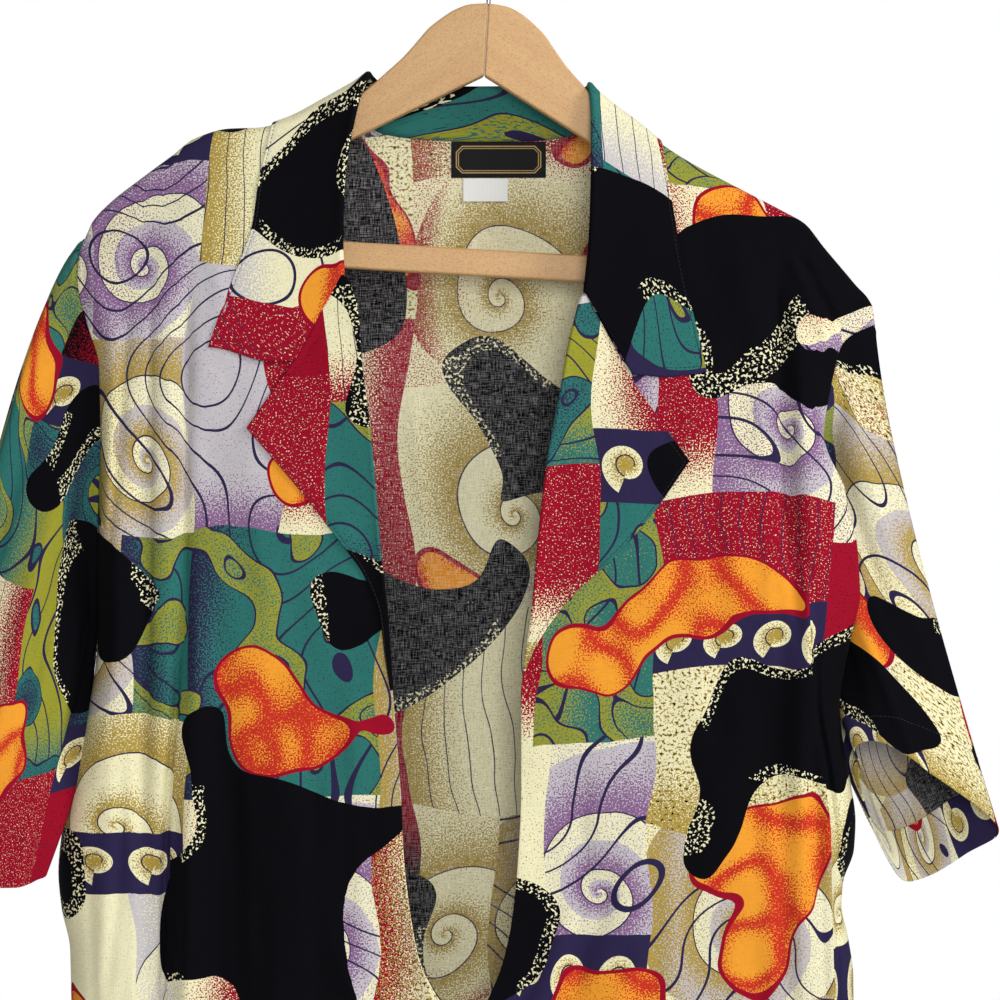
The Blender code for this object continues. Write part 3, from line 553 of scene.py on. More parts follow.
def relief(folds, x, drop, depth=1.0):
    """All folds together: bells across, along leaning, bowed lines that fade in and out at their ends."""
    total = np.zeros(np.broadcast(x, drop).shape)
    for x_top, drop_top, x_bottom, drop_bottom, half_width, out, bow in zip(*folds.values()):
        along = (drop - drop_top) / (drop_bottom - drop_top)
        fade = ease(along / FOLD_FADE) * ease((1 - along) / FOLD_FADE)
        middle = x_top + (x_bottom - x_top) * along + bow * np.sin(math.pi * np.clip(along, 0, 1))
        total += out * depth * fade * np.exp(-(((x - middle) / half_width) ** 2))
    return total


def swells(x, drop):
    """Slow waves that lean across the cloth, each with its own height and lengths."""
    total = np.zeros(np.broadcast(x, drop).shape)
    for height, length_x, length_drop, phase in zip(*SWELLS.values()):
        total += height * np.sin(2 * math.pi * (x / length_x + drop / length_drop) + phase)
    return total


def cloth_layer():
    """The thickness of one layer of the printed cloth, in mm."""
    return bpy.context.scene.shirt_cloth.thickness / MM


def fine_relief(panel_name, x, drop):
    """The fine creases of the fronts or the back, as deep as the settings say."""
    return relief(CREASES[panel_name], x, drop, bpy.context.scene.shirt_cloth.crease_depth)


def past_pleat(side, x, drop):
    """How far out past the deep fold's edge a place on a front is."""
    return SIGN[side] * (x - read(PLEAT[side], "x", drop))


def front_face_y(side, x, drop):
    """The fronts' outer face, each with its deep fold. Near the button one front crosses over the other."""
    below = drop - shoulder_drop(x)
    lap = ease((drop - LAP_START) / (LAP_END - LAP_START)) * np.exp(-(((x - LAP_X) / LAP_HALF_WIDTH) ** 2))
    step = SIGN[side] * LAP_STEP * lap
    fine = fine_relief("front", x, drop) + swells(x, drop) * ease(below / FRONT_SWELL_REACH)
    past = past_pleat(side, x, drop)
    ledge = np.exp(-((past / np.where(past < 0, LEDGE_IN, LEDGE_OUT)) ** 2))
    trough = TROUGH_SHARE * np.exp(-(((past - TROUGH_PLACE) / TROUGH_WIDTH) ** 2))
    fine = fine + read(PLEAT[side], "height", drop) * (ledge - trough)
    return step - stand_off(below, FRONT_DEPTH, FRONT_REACH) - relief(LARGE_FOLDS["front"], x, drop) - fine


def back_face_y(x, drop):
    """The back's outer face."""
    below = drop - shoulder_drop(x)
    shown = ease((below - BACK_SWELL_START) / BACK_SWELL_REACH)
    fine = fine_relief("back", x, drop) + swells(x + BACK_SWELL_SHIFT, drop) * shown
    return stand_off(below, BACK_DEPTH, BACK_REACH) + relief(LARGE_FOLDS["back"], x, drop) + fine


def seam_turn(side, seam_y_name, drop):
    """How far the cloth turns back at the seam. The back turns less than the front along the armhole."""
    turn = read(SEAM[side], "turn", drop)
    if seam_y_name == "back_y":
        top = SEAM[side]["drop"][0]
        part = np.minimum((drop - top) / (UNDERARM_DROP[side] - top), 1)
        turn = np.minimum(turn, BACK_TURN_TOP + BACK_TURN_MORE * part**3)
    return np.radians(turn)


def upper_edge_drop(seam_y_name, x):
    """A panel's upper edge: the shoulder line, and on the back the neckline between the neck points."""
    if seam_y_name == "front_y":
        return shoulder_drop(x)
    in_neck = (x > NECKLINE["x"][0]) & (x < NECKLINE["x"][-1])
    return np.where(in_neck, read(NECKLINE, "drop", x, "x"), shoulder_drop(x))


def panel(side, across, down, inset, rise, inner_x, top_of_inner, seam_y_name, face_y):
    """Rows from an inner edge to the armhole and side seam.

    Each row runs straight over the face, then round the side on an ellipse that ends at the seam after the
    table's turn. The top row follows the upper edge, and lower rows lose that shape with the cube of the
    distance. "inset" and "rise" are millimetres in from the inner edge and up from the hem, for the strips
    turned in there.
    """
    seam = SEAM[side]
    seam_top = seam["drop"][0]

    def line(inner_drop, outer_drop):
        """One row: its x, and how far it has turned round the side."""
        turn = seam_turn(side, seam_y_name, outer_drop)
        wide = SIGN[side] * read(seam, "round", outer_drop)
        start_x = read(seam, "x", outer_drop) - wide * np.sin(turn)
        angle = turn * np.clip((across - FLAT_SHARE) / (1 - FLAT_SHARE), 0, 1)
        edge_x = inner_x(inner_drop)
        x = edge_x + (start_x - edge_x) * np.clip(across / FLAT_SHARE, 0, 1) + wide * np.sin(angle)
        return x + SIGN[side] * inset, angle, turn

    inner_drop = top_of_inner + (HEM_DROP - top_of_inner) * down - rise
    outer_drop = seam_top + (HEM_DROP - seam_top) * down - rise
    x, angle, turn = line(inner_drop, outer_drop)
    top_x = line(inner_drop * 0 + top_of_inner, outer_drop * 0 + seam_top)[0]
    top_gap = upper_edge_drop(seam_y_name, top_x) - top_of_inner - (seam_top - top_of_inner) * across
    drop = inner_drop + (outer_drop - inner_drop) * across + top_gap * (1 - down) ** 3
    back_share = (1 - np.cos(angle)) / (1 - np.cos(turn))
    y = face_y(x, drop) * (1 - back_share) + read(seam, seam_y_name, outer_drop) * back_share
    return np.stack([x, y, -drop], -1)


def turned_edge(strip):
    """The profile of a turned-in edge, from the strip's inner end over the fold to the face.

    Returns how far in from the fold each point lies, and how far it has turned, from 1 on the strip to 0 on
    the face. The fold is a half circle.
    """
    flat = strip * np.array([1.0, 0.97, 0.8, 0.6, 0.42, 0.27, 0.14])
    bend = np.radians(np.linspace(90, -90, 7))
    inset = np.concatenate([flat, FOLD_RADIUS * (1 - np.cos(bend))])
    turned = np.concatenate([np.ones(len(flat)), (1 + np.sin(bend)) / 2])
    return inset, turned


def rows_down(count):
    """Shares of a panel's length: close together over the wood, then this many even steps to the hem."""
    over_wood = [0.0, 0.00004, 0.00015, 0.0004, 0.0008, 0.0014, 0.0022, 0.0032, 0.0044, 0.006, 0.008, 0.0105,
                 0.0135, 0.017, 0.021]
    return np.concatenate([over_wood, np.linspace(over_wood[-1], 1, count + 1)[1:]])


def roll_inset(side, drop):
    """How far the front's own edge lies behind the lapel's soft roll, which is what shows along the lapel."""
    top, bottom = LAPEL[side]["roll_drop"][[0, -1]]
    return ROLL_BULGE * ease((drop - top) / ROLL_TOP_REACH) * ease((bottom - drop) / ROLL_FOOT_REACH)


def with_turnings(surface, outward_sign, across, down, side_strip, hem_strip):
    """A panel with its front edge and its hem turned in, as points and how its folds lie.

    The surface is worked out where each point lies on the cut cloth, and turned layers are moved inwards
    along its normal: two layers deep for one fold, and four where both folds meet, the hem's inside the
    edge's.
    """
    hem_depth = 2 * cloth_layer() + LAYER_GAP
    column_inset, column_turned = np.zeros(0), np.zeros(0)
    if side_strip:
        column_inset, column_turned = turned_edge(side_strip)
        column_inset = np.concatenate([column_inset, EDGE_POINTS])
        column_turned = np.concatenate([column_turned, EDGE_POINTS * 0])
    column_share = np.concatenate([column_inset * 0, across])
    column_inset = np.concatenate([column_inset, across * 0])[:, None]
    column_turned = np.concatenate([column_turned, across * 0])[:, None]
    row_inset, row_turned = (values[::-1] for values in turned_edge(hem_strip))
    row_share = np.concatenate([down[:-1], row_inset * 0 + 1])
    row_rise = np.concatenate([down[:-1] * 0, row_inset])[None, :]
    row_turned = np.concatenate([down[:-1] * 0, row_turned])[None, :]
    share, depth = np.broadcast_arrays(column_share[:, None], row_share[None, :])
    step, inset, rise = 0.002, column_inset, row_rise
    base = surface(share, depth, inset, rise)
    wide = surface(share + step, depth, inset, rise) - surface(share - step, depth, inset, rise)
    long = surface(share, depth + step, inset, rise) - surface(share, depth - step, inset, rise)
    outward = outward_sign * unit(np.cross(wide, long))
    near_hem = ease((row_rise - hem_strip - EDGE_OVER_HEM) / -EDGE_OVER_HEM_REACH) * (row_share > 0.9)
    edge_depth = hem_depth * (1 + near_hem)
    inward = column_turned * edge_depth + row_turned * hem_depth - 2 * column_turned * row_turned * hem_depth
    return base - outward * inward[..., None]


def front_sheet(side):
    """One front, with a strip turned in behind its edge and its hem turned up."""
    cloth = bpy.context.scene.shirt_cloth
    edge = FRONT_EDGE[side]

    def surface(across, down, inset, rise):
        """The front's face over its shares across and down."""
        return panel(
            side, across, down, inset, rise,
            lambda drop: read(edge, "x", drop) + SIGN[side] * roll_inset(side, drop),
            edge["drop"][0], "front_y", lambda x, drop: front_face_y(side, x, drop),
        )

    across = spaced(0.055, (0.54, 38), (0.7, 26), (FLAT_SHARE, 8), (1.0, 22))
    return with_turnings(
        surface, -SIGN[side], across, rows_down(235), cloth.front_turning / MM, cloth.hem_width / MM
    )


def back_sheet():
    """The back: its left half in reverse order joined to its right half at the centre, its hem turned up."""
    halves = []
    centre_drop = float(read(NECKLINE, "drop", BACK_CENTRE_X, "x"))
    for side in SIDES:
        seam = SEAM[side]
        neck_x = NECKLINE["x"][0] if side == "left" else NECKLINE["x"][-1]
        top_width = seam["x"][0] - SIGN[side] * seam["round"][0] * math.sin(math.radians(seam["turn"][0]))
        neck_share = FLAT_SHARE * (neck_x - BACK_CENTRE_X) / (top_width - BACK_CENTRE_X)
        across = spaced(0.0, (neck_share * 0.88, 22), (neck_share, 6), (FLAT_SHARE, 48), (1.0, 16))

        def surface(share, down, inset, rise, side=side):
            """Half of the back's face over its shares across and down."""
            return panel(
                side, share, down, inset, rise, lambda drop: np.full(drop.shape, BACK_CENTRE_X), centre_drop,
                "back_y", back_face_y,
            )

        hem = bpy.context.scene.shirt_cloth.hem_width / MM
        halves.append(with_turnings(surface, SIGN[side], across, rows_down(215), 0.0, hem))
    return np.concatenate([halves[0][::-1], halves[1][1:]])


def over_shoulder(x, over, lift):
    """The point this far over the shoulder line and this far out from the shirt's outer face there."""
    below = np.abs(over)
    depth, reach = np.where(over > 0, BACK_DEPTH, FRONT_DEPTH), np.where(over > 0, BACK_REACH, FRONT_REACH)
    before = np.maximum(below - 0.5, 0)
    slope = (stand_off(below + 0.5, depth, reach) - stand_off(before, depth, reach)) / (below + 0.5 - before)
    side_share = np.where(below > 0, 1 / np.hypot(1, slope), 0)
    y = np.sign(over) * (stand_off(below, depth, reach) + lift * side_share)
    z = -shoulder_drop(x) - below + lift * np.sqrt(1 - side_share**2)
    return np.stack(np.broadcast_arrays(x, y, z), -1)


def neck_seam(x, over):
    """The collar's seam edge, along the fronts' inner edges and the back's neckline."""
    drop = shoulder_drop(x) - over
    left = read(FRONT_EDGE["left"], "x", drop) + NECK_TUCK
    right = read(FRONT_EDGE["right"], "x", drop) - NECK_TUCK
    front_x = np.where(x < BACK_CENTRE_X, left, right)
    back_over = read(NECKLINE, "drop", x, "x") - NECK_TUCK - shoulder_drop(x)
    on_front = over < 0
    return np.where(on_front, front_x, x), np.where(on_front, shoulder_drop(front_x) - drop, back_over)


def collar_sheet():
    """The collar's middle surface.

    Each line across it starts at the neck seam, runs inside to the roll, turns over on a half circle, and
    runs out over the shirt to the outer edge. The end lines bend to the notch. The cloth sinks along the
    edge stitching and swells between it and the edge.
    """
    fine = [0.0, 0.03, 0.06, 0.09, 0.115, 0.14, 0.18, 0.24]
    last = len(COLLAR["rise"]) - 1.0
    middle = spaced(0.3, (4.0, 38), (6.0, 40), (10.0, 50), (12.0, 40), (last - 0.3, 38))
    stations = np.concatenate([fine, middle, last - np.array(fine[::-1])])[:, None]
    count = np.arange(len(COLLAR["rise"]), dtype=float)
    at = {name: through(count, values, stations) for name, values in COLLAR.items()}
    stand = np.linspace(0, 1, 8)[None, :]
    turn = np.radians(np.linspace(0, 180, 13)[1:-1])[None, :]

    wide = np.hypot(at["edge_x"] - at["roll_x"], at["edge_over"] - at["roll_over"])
    long_part = spaced(0.0, (0.12, 4), (1.0, 20))[None, :-1]
    fall = np.concatenate([long_part * (1 - NEAR_EDGE[0, 0] / wide), 1 - NEAR_EDGE / wide], 1)
    out_x = (at["edge_x"] - at["roll_x"]) / wide
    out_over = (at["edge_over"] - at["roll_over"]) / wide
    radius = (at["rise"] + 2.0 + WALL / 2) / 2
    centre_x = at["roll_x"] + out_x * (radius + WALL / 2)
    centre_over = at["roll_over"] + out_over * (radius + WALL / 2)
    seam_x, seam_over = neck_seam(at["seam_x"], at["seam_over"])

    notch = tent(fall, COLLAR_NOTCH_SHARE)
    bend_x, bend_over = 0.0, 0.0
    for side, from_end in (("left", stations), ("right", stations[-1] - stations)):
        near = np.clip(1 - from_end / COLLAR_NOTCH_REACH, 0, 1) ** 2
        bend_x = bend_x + COLLAR_NOTCH[side][0] * near * notch
        bend_over = bend_over + COLLAR_NOTCH[side][1] * near * notch
    x_fall = centre_x + (at["edge_x"] - centre_x) * fall + bend_x
    over_fall = centre_over + (at["edge_over"] - centre_over) * fall + bend_over
    end_drop = np.minimum(stations, stations[-1] - stations) * 20
    lift_fall = COLLAR_LIFT - 0.5 + (at["rise"] - COLLAR_LIFT + 2.5) * np.exp(-fall * 9)
    lift_fall = lift_fall + sewn_edge(wide * (1 - fall)) + sewn_edge(end_drop + 4 * (1 - ease(fall * 3)))
    lift_fall = lift_fall + 0.45 * np.sin(stations * 2.3 + 1) * fall**2
    lift_fall = lift_fall + 0.3 * np.sin(stations * 5.1) * fall**3

    x_stand = seam_x + (centre_x - seam_x) * stand
    over_stand = seam_over + (centre_over - seam_over) * stand
    x_turn = centre_x - out_x * radius * np.sin(turn)
    over_turn = centre_over - out_over * radius * np.sin(turn)
    lift_turn = radius - WALL / 2 - radius * np.cos(turn)
    points = np.concatenate([
        over_shoulder(x_stand, over_stand, -WALL / 2),
        over_shoulder(x_turn, over_turn, lift_turn),
        over_shoulder(x_fall, over_fall, lift_fall),
    ], 1)
    starts = np.concatenate([at["roll_x"], -at["roll_over"]], 1)
    return points, fan_coordinates(points, COLLAR_ROLL_COLUMN, starts, np.concatenate([out_x, -out_over], 1))


def tent(share, top):
    """Rises evenly to 1 at the top's share of the way, and falls evenly to 0 at the end."""
    return np.where(share < top, share / top, (1 - share) / (1 - top))


def sewn_edge(distance):
    """The relief across a stitched edge: a groove along the stitching and a small swelling outside it."""
    inset = bpy.context.scene.shirt_cloth.stitch_inset / MM
    groove = GROOVE * np.exp(-(((distance - inset) / RELIEF_WIDTH) ** 2))
    return SWELLING * np.exp(-(((distance - inset / 2) / RELIEF_WIDTH) ** 2)) - groove


def lapel_sheet(side):
    """A lapel's middle surface.

    Lines start inside the front, turn round its edge on a half ellipse, which is the soft roll, and run out
    over the front to the lapel's outer edge, lifted near the roll.
    """
    shape = LAPEL[side]
    last = len(shape["edge_x"]) - 1.0
    along = np.concatenate([[0.0, 0.02, 0.04, 0.06, 0.08, 0.1, 0.13], spaced(0.17, (last, 90))])[:, None]
    count = np.arange(len(shape["edge_x"]), dtype=float)
    roll_drop, edge_x, edge_drop = (through(count, shape[name], along) for name in shape)
    roll_x = read(FRONT_EDGE[side], "x", roll_drop)
    wide = np.hypot(edge_x - roll_x, edge_drop - roll_drop)
    size = np.clip(wide / 14, 0.12, 1)
    inside = np.array([11.0, 9.0, 7.0, 5.0, 3.6])[None, :] * size
    bend = np.radians(np.linspace(90, -90, 15))[None, :]
    bulge = ROLL_BULGE * size * (1 - np.cos(bend))
    near_edge = NEAR_EDGE * size
    start = ROLL_BULGE * size
    fall = start + (wide - near_edge[:, :1] - start) * spaced(0.0, (0.15, 4), (1.0, 24))[None, 1:-1]
    distance = np.concatenate([inside, bulge, fall, wide - near_edge], 1)
    turned_out = (1 - np.sin(bend)) / 2 + size * 0
    outside = np.concatenate([inside * 0, turned_out, fall * 0 + 1, near_edge * 0 + 1], 1)

    out = distance / wide
    x = roll_x + (edge_x - roll_x) * out
    share = np.clip(out, 0, 1)
    notch = tent(share, LAPEL_NOTCH_SHARE)
    bend_drop = LAPEL_NOTCH[side] * notch * np.clip(1 - along, 0, 1) ** 2 * outside
    drop = roll_drop + (edge_drop - roll_drop) * out + bend_drop
    lift = LAPEL_LIFT - 0.3 + (LAPEL_ROLL_LIFT + 0.3) * np.exp(-distance / 9) * size
    lift = lift + sewn_edge(wide - distance) + sewn_edge(along * 30 + 5 * (1 - ease(share * 3)))
    lift = lift + 0.4 * np.sin(along * 3.1 + 0.7) * share**2 * ease((last - along) * 2)
    under = -cloth_layer() - 0.75
    lift = under + (lift - under) * outside
    points = np.stack([x, front_face_y(side, x, drop) - lift, -drop], -1)
    headings = np.concatenate([edge_x - roll_x, edge_drop - roll_drop], 1) / wide
    starts = np.concatenate([roll_x, roll_drop], 1)
    return points, fan_coordinates(points, LAPEL_ROLL_COLUMN, starts, headings)


def fan_coordinates(points, column, starts, headings):
    """Where the points of a sheet lie on the flat cloth, in metres. Its lines fan out from a curved roll.

    Each line starts from its own place at the given column and runs straight on in its own heading, for its
    arc length on the sheet.
    """
    travelled = np.cumsum(np.linalg.norm(np.diff(points, axis=1), axis=-1), 1)
    travelled = np.concatenate([travelled[:, :1] * 0, travelled], 1)
    travelled = travelled - travelled[:, column][:, None]
    flat = starts[:, None] + headings[:, None] * travelled[..., None]
    return flat * (MM, -MM)


def closed_curve(points, angle):
    """A smooth closed curve through evenly numbered points, as the sum of their harmonics."""
    count = len(points)
    harmonics = np.fft.fft(points) / count
    orders = np.fft.fftfreq(count, 1 / count)
    waves = np.exp(1j * orders * np.asarray(angle)[..., None])
    waves[..., count // 2] = np.cos(count // 2 * np.asarray(angle))
    return (waves * harmonics).sum(-1).real


def armhole(side, angle):
    """The armhole seam, down its front and up its back, and the direction in which the cloth leaves it."""
    seam = SEAM[side]
    top, underarm = seam["drop"][0], UNDERARM_DROP[side]
    drop = top + (underarm - top) * (1 - np.cos(angle)) / 2
    front = np.sin(angle) >= 0
    y = np.where(front, read(seam, "front_y", drop), read(seam, "back_y", drop))
    turn = np.where(front, seam_turn(side, "front_y", drop), seam_turn(side, "back_y", drop))
    turn = np.minimum(turn, math.radians(HEADING_TURN))
    lean = SIGN[side] * (read(seam, "x", drop + 2) - read(seam, "x", drop - 2)) / 4
    across = np.cos(turn) / np.hypot(1, lean)
    outward = across + UNDERARM_OUT * np.sin(angle / 2) ** 8
    fall = LEAST_FALL + MORE_FALL * np.cos(angle) ** 2 - lean * across
    heading = np.stack([SIGN[side] * outward, np.sin(angle) * np.sin(turn), -fall], -1)
    return np.stack([read(seam, "x", drop), y, -drop], -1), unit(heading)


def sleeve_surface(side, angle, along):
    """The sleeve's outer surface: rings that leave the armhole with the panels and ease into the open hem."""
    start, heading = armhole(side, angle)
    hem = SLEEVE_HEM[side]
    end = np.stack([closed_curve(hem[name], angle) for name in ("x", "y", "drop")], -1) * (1, 1, -1)
    share = (along ** SLEEVE_EASE)[..., None]
    leave = (along * (1 - along) ** 3)[..., None]
    points = start + (end - start) * share + heading * SLEEVE_START * leave
    swing = np.sin(math.pi * along)
    underarm = np.exp(-(((np.degrees(angle) - UNDERARM_ANGLE) / UNDERARM_HALF_ANGLE) ** 2))
    points[..., 0] += SLEEVE_BOW[side] * swing * np.cos(angle / 2) ** 2
    points[..., 0] += UNDERARM_BOW[side] * swing * underarm
    middle = ease(along * 4) * ease((1 - along) * 2)
    points[..., 1] += SLEEVE_SETBACK[side] * np.maximum(np.sin(angle), 0) * middle
    return points


def sleeve_sheet(side):
    """A sleeve: its seam edge tucked under the body's, its creases, and its hem turned up inside."""
    cloth = bpy.context.scene.shirt_cloth
    even = np.linspace(0, 2 * math.pi, SLEEVE_COLUMNS + 1)[:-1][:, None]
    angle = even - 0.25 * np.sin(2 * even)
    inset, turned = (values[::-1] for values in turned_edge(cloth.sleeve_hem_width / MM))
    body = spaced(0.0, (0.03, 5), (0.1, 4), (1.0, 84))
    hem, head = sleeve_surface(side, angle, np.ones((1, 1))), sleeve_surface(side, angle, np.zeros((1, 1)))
    length = np.linalg.norm(hem - head, axis=-1)
    along = np.concatenate([np.broadcast_to(body[:-1], (len(angle), len(body) - 1)), 1 - inset / length], 1)
    turned = np.concatenate([body[:-1] * 0, turned])[None, :]
    angle = np.broadcast_to(angle, along.shape)
    points = sleeve_surface(side, angle, along)
    round_it = sleeve_surface(side, angle + 0.02, along) - sleeve_surface(side, angle - 0.02, along)
    up = np.clip(along - 0.01, 0, 1)
    down = np.clip(along + 0.01, 0, 1)
    along_it = sleeve_surface(side, angle, down) - sleeve_surface(side, angle, up)
    outward = SIGN[side] * unit(np.cross(round_it, along_it))

    bumps = np.zeros(along.shape)
    for round_top, along_top, round_end, along_end, half_width, out in zip(*SLEEVE_CREASES[side].values()):
        part = (along - along_top) / (along_end - along_top)
        fade = ease(part / 0.25) * ease((1 - part) / 0.25)
        away = np.degrees(angle) - (round_top + (round_end - round_top) * part)
        bumps += out * cloth.crease_depth * fade * np.exp(-((away / half_width) ** 2))
    bumps += 0.5 * np.sin(3 * angle + 7 * along) + 0.35 * np.sin(5 * angle - 9 * along + 1)
    bumps = bumps * ease(along * 9)
    tuck = (cloth_layer() + TUCK_GAP) * (1 - ease(along / TUCK_SHARE))
    seam_ridge = RIDGE_HEIGHT * np.exp(-(((along - RIDGE_PLACE) / RIDGE_WIDTH) ** 2))
    inward = tuck - bumps - seam_ridge + turned * (2 * cloth_layer() + LAYER_GAP)
    return points - outward * inward[..., None]


# ---------------------------------------------------------------- meshes


def travelled_along(line):
    """How far along a line each of its points lies."""
    return np.concatenate([[0.0], np.cumsum(np.linalg.norm(np.diff(line, axis=0), axis=1))])


def read_along(line, travelled, distance):
    """The points or directions of a line at other distances along it."""
    return np.stack([np.interp(distance, travelled, line[:, axis]) for axis in range(3)], -1)


def cloth_coordinates(points, column, row, start):
    """Where each grid point of a panel lies on the flat cloth, in metres.

    Width is measured along each row as arc length from the given column, which keeps its own place across,
    and length down each column from the given row.
    """
    across = np.diff(points, axis=0)
    down = np.diff(points, axis=1)
    width = np.cumsum(np.hypot(across[..., 0], across[..., 1]), 0)
    width = np.concatenate([width[:1] * 0, width])
    length = np.cumsum(np.hypot(down[..., 1], down[..., 2]), 1)
    length = np.concatenate([length[:, :1] * 0, length], 1)
    rising = np.sign(points[-1, row, 0] - points[0, row, 0])
    width = points[column, :, 0] + (width - width[column]) * rising
    length = length - length[:, row][:, None]
    return (np.stack(np.broadcast_arrays(width, -length), -1) + start) * MM


def tube_coordinates(points, start):
    """Where each point of a sleeve lies on the flat cloth, in metres: straight hem and curved head.

    Width is the arc length round the ring at the sleeve's middle, and length is measured up from the hem.
    """
    ring = np.concatenate([points, points[:1]])[:, points.shape[1] // 2]
    width = travelled_along(ring)
    length = np.cumsum(np.linalg.norm(np.diff(points, axis=1), axis=-1)[:, ::-1], 1)[:, ::-1]
    length = np.concatenate([length, length[:, -1:] * 0], 1)
    length = np.concatenate([length, length[:1]])
    return (np.stack(np.broadcast_arrays(width[:, None], length), -1) + start) * MM


def grid_faces(across, down, closed=False):
    """The corner numbers of the quads over a grid, round a tube where it is closed."""
    columns = np.arange(across + closed)
    index = columns[:, None] * down + np.arange(down)[None, :]
    corners = [index[:-1, :-1], index[1:, :-1], index[1:, 1:], index[:-1, 1:]]
    return np.stack(corners, -1).reshape(-1, 4)


def add_piece(name, vertices, faces, materials, replaced=(), flat_coordinates=None, wrap=None):
    """A mesh object from arrays in metres, that rides on the one body and stands for the replaced nodes."""
    mesh = bpy.data.meshes.new(name)
    corners = faces % wrap if wrap else faces
    mesh.from_pydata(vertices, [], corners)
    if flat_coordinates is not None:
        layer = mesh.uv_layers.new(name="cloth")
        layer.data.foreach_set("uv", flat_coordinates[faces.ravel()].ravel())
    for material in materials:
        mesh.materials.append(material)
    mesh.shade_smooth()
    piece = bpy.data.objects.new(name, mesh)
    bpy.context.scene.collection.objects.link(piece)
    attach(piece, "root")
    if replaced:
        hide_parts(*replaced)
    return piece


def add_cloth(name, points, coordinates, node, wall, offset=-1.0, flip=False, closed=False):
    """A sheet of printed cloth through a grid of points, as thick as the wall, with its paler side inside."""
    across, down = points.shape[:2]
    faces = grid_faces(across, down, closed)
    if flip:
        faces = faces[:, ::-1]
    piece = add_piece(
        name, points.reshape(-1, 3) * MM, faces, [printed_cloth(False), printed_cloth(offset == -1.0)],
        [node], coordinates.reshape(-1, 2), across * down,
    )
    thicken(piece, wall, offset).material_offset = 1
    return piece


def thicken(piece, thickness, offset):
    """Makes a sheet this many metres thick: behind its face at an offset of -1, to both sides at 0."""
    solid = piece.modifiers.new("layer", "SOLIDIFY")
    solid.thickness = thickness
    solid.offset = offset
    return solid


def tube(path, radius, sides, normal):
    """Rings round a path in a plane with this normal. Smaller rings close each end to a dome."""
    tangent = unit(np.gradient(path, axis=0))
    side = unit(np.cross(tangent, normal))
    turn = np.linspace(0, 2 * math.pi, sides, endpoint=False)[None, :, None]
    dome = np.array([0.02, 0.5, 0.87])
    begin = path[0] - tangent[0] * radius * np.sqrt(1 - dome[:, None] ** 2)
    end = path[-1] + tangent[-1] * radius * np.sqrt(1 - dome[::-1, None] ** 2)
    spine = np.concatenate([begin, path, end])
    sides_at = np.concatenate([np.repeat(side[:1], 3, 0), side, np.repeat(side[-1:], 3, 0)])
    radii = radius * np.concatenate([dome, np.ones(len(path)), dome[::-1]])
    ring = np.cos(turn) * sides_at[:, None] + np.sin(turn) * np.asarray(normal)
    return spine[:, None] + ring * radii[:, None, None]


# ---------------------------------------------------------------- materials


class Field:
    """A value that a material works out at every point. Arithmetic on it adds Math nodes to the material."""

    def __init__(self, tree, socket):
        self.tree = tree
        self.socket = socket

    def math(self, operation, *others):
        """A Math node on this value and others."""
        return calculate(self.tree, operation, self, *others)

    def __add__(self, other):
        return self.math("ADD", other)

    __radd__ = __add__

    def __sub__(self, other):
        return self.math("SUBTRACT", other)

    def __rsub__(self, other):
        return calculate(self.tree, "SUBTRACT", other, self)

    def __mul__(self, other):
        return self.math("MULTIPLY", other)

    __rmul__ = __mul__

    def __truediv__(self, other):
        return self.math("DIVIDE", other)

    def above(self, other):
        """1 where this is larger, else 0."""
        return self.math("GREATER_THAN", other)

    def below(self, other):
        """1 where this is smaller, else 0."""
        return self.math("LESS_THAN", other)

    def near_line(self, pitch, thickness):
        """1 within half this thickness of the lines that lie every pitch apart, else 0."""
        part = (self / pitch).math("FRACT") - 0.5
        return part.math("ABSOLUTE").above(0.5 - thickness / pitch / 2)


def add_node(tree, kind, inputs, output=0, **settings):
    """A node with its inputs joined or set, as a field of one of its outputs."""
    node = tree.nodes.new(kind)
    for name, value in settings.items():
        setattr(node, name, value)
    for place, value in inputs.items():
        if isinstance(value, Field):
            tree.links.new(value.socket, node.inputs[place])
        elif isinstance(value, tuple) and len(value) == 3 and node.inputs[place].type == "RGBA":
            node.inputs[place].default_value = (*value, 1.0)
        else:
            node.inputs[place].default_value = value
    return Field(tree, node.outputs[output])


def calculate(tree, operation, *values):
    """A Math node on these values."""
    return add_node(tree, "ShaderNodeMath", dict(enumerate(values)), operation=operation)


def blend(mask, under, over):
    """One colour laid over another where the mask is 1."""
    return add_node(
        mask.tree, "ShaderNodeMix", {0: mask, 6: under, 7: over}, 2, data_type="RGBA", clamp_factor=True
    )


def parted(vector):
    """The three parts of a vector or a colour."""
    node = vector.tree.nodes.new("ShaderNodeSeparateXYZ")
    vector.tree.links.new(vector.socket, node.inputs[0])
    return [Field(vector.tree, socket) for socket in node.outputs]


def joined(x, y, z=0.0):
    """A vector of three numbers."""
    return add_node(x.tree, "ShaderNodeCombineXYZ", {0: x, 1: y, 2: z})


def noise(vector, size, detail=1.0, output=0):
    """Smooth noise with marks of about this size."""
    inputs = {"Vector": vector, "Scale": 1.0 / size, "Detail": detail, "Roughness": 0.55}
    return add_node(vector.tree, "ShaderNodeTexNoise", inputs, output)


def fibres(vector, marks, detail=1.0):
    """Noise drawn out along threads or wood fibres, with this many marks to a unit along each axis."""
    return noise(add_node(vector.tree, "ShaderNodeMapping", {"Vector": vector, "Scale": marks}), 1.0, detail)


def luck(x, y, z):
    """Three unrelated numbers from 0 to 1 for each block of whole numbers."""
    return parted(add_node(x.tree, "ShaderNodeTexWhiteNoise", {"Vector": joined(x, y, z)}, "Color"))


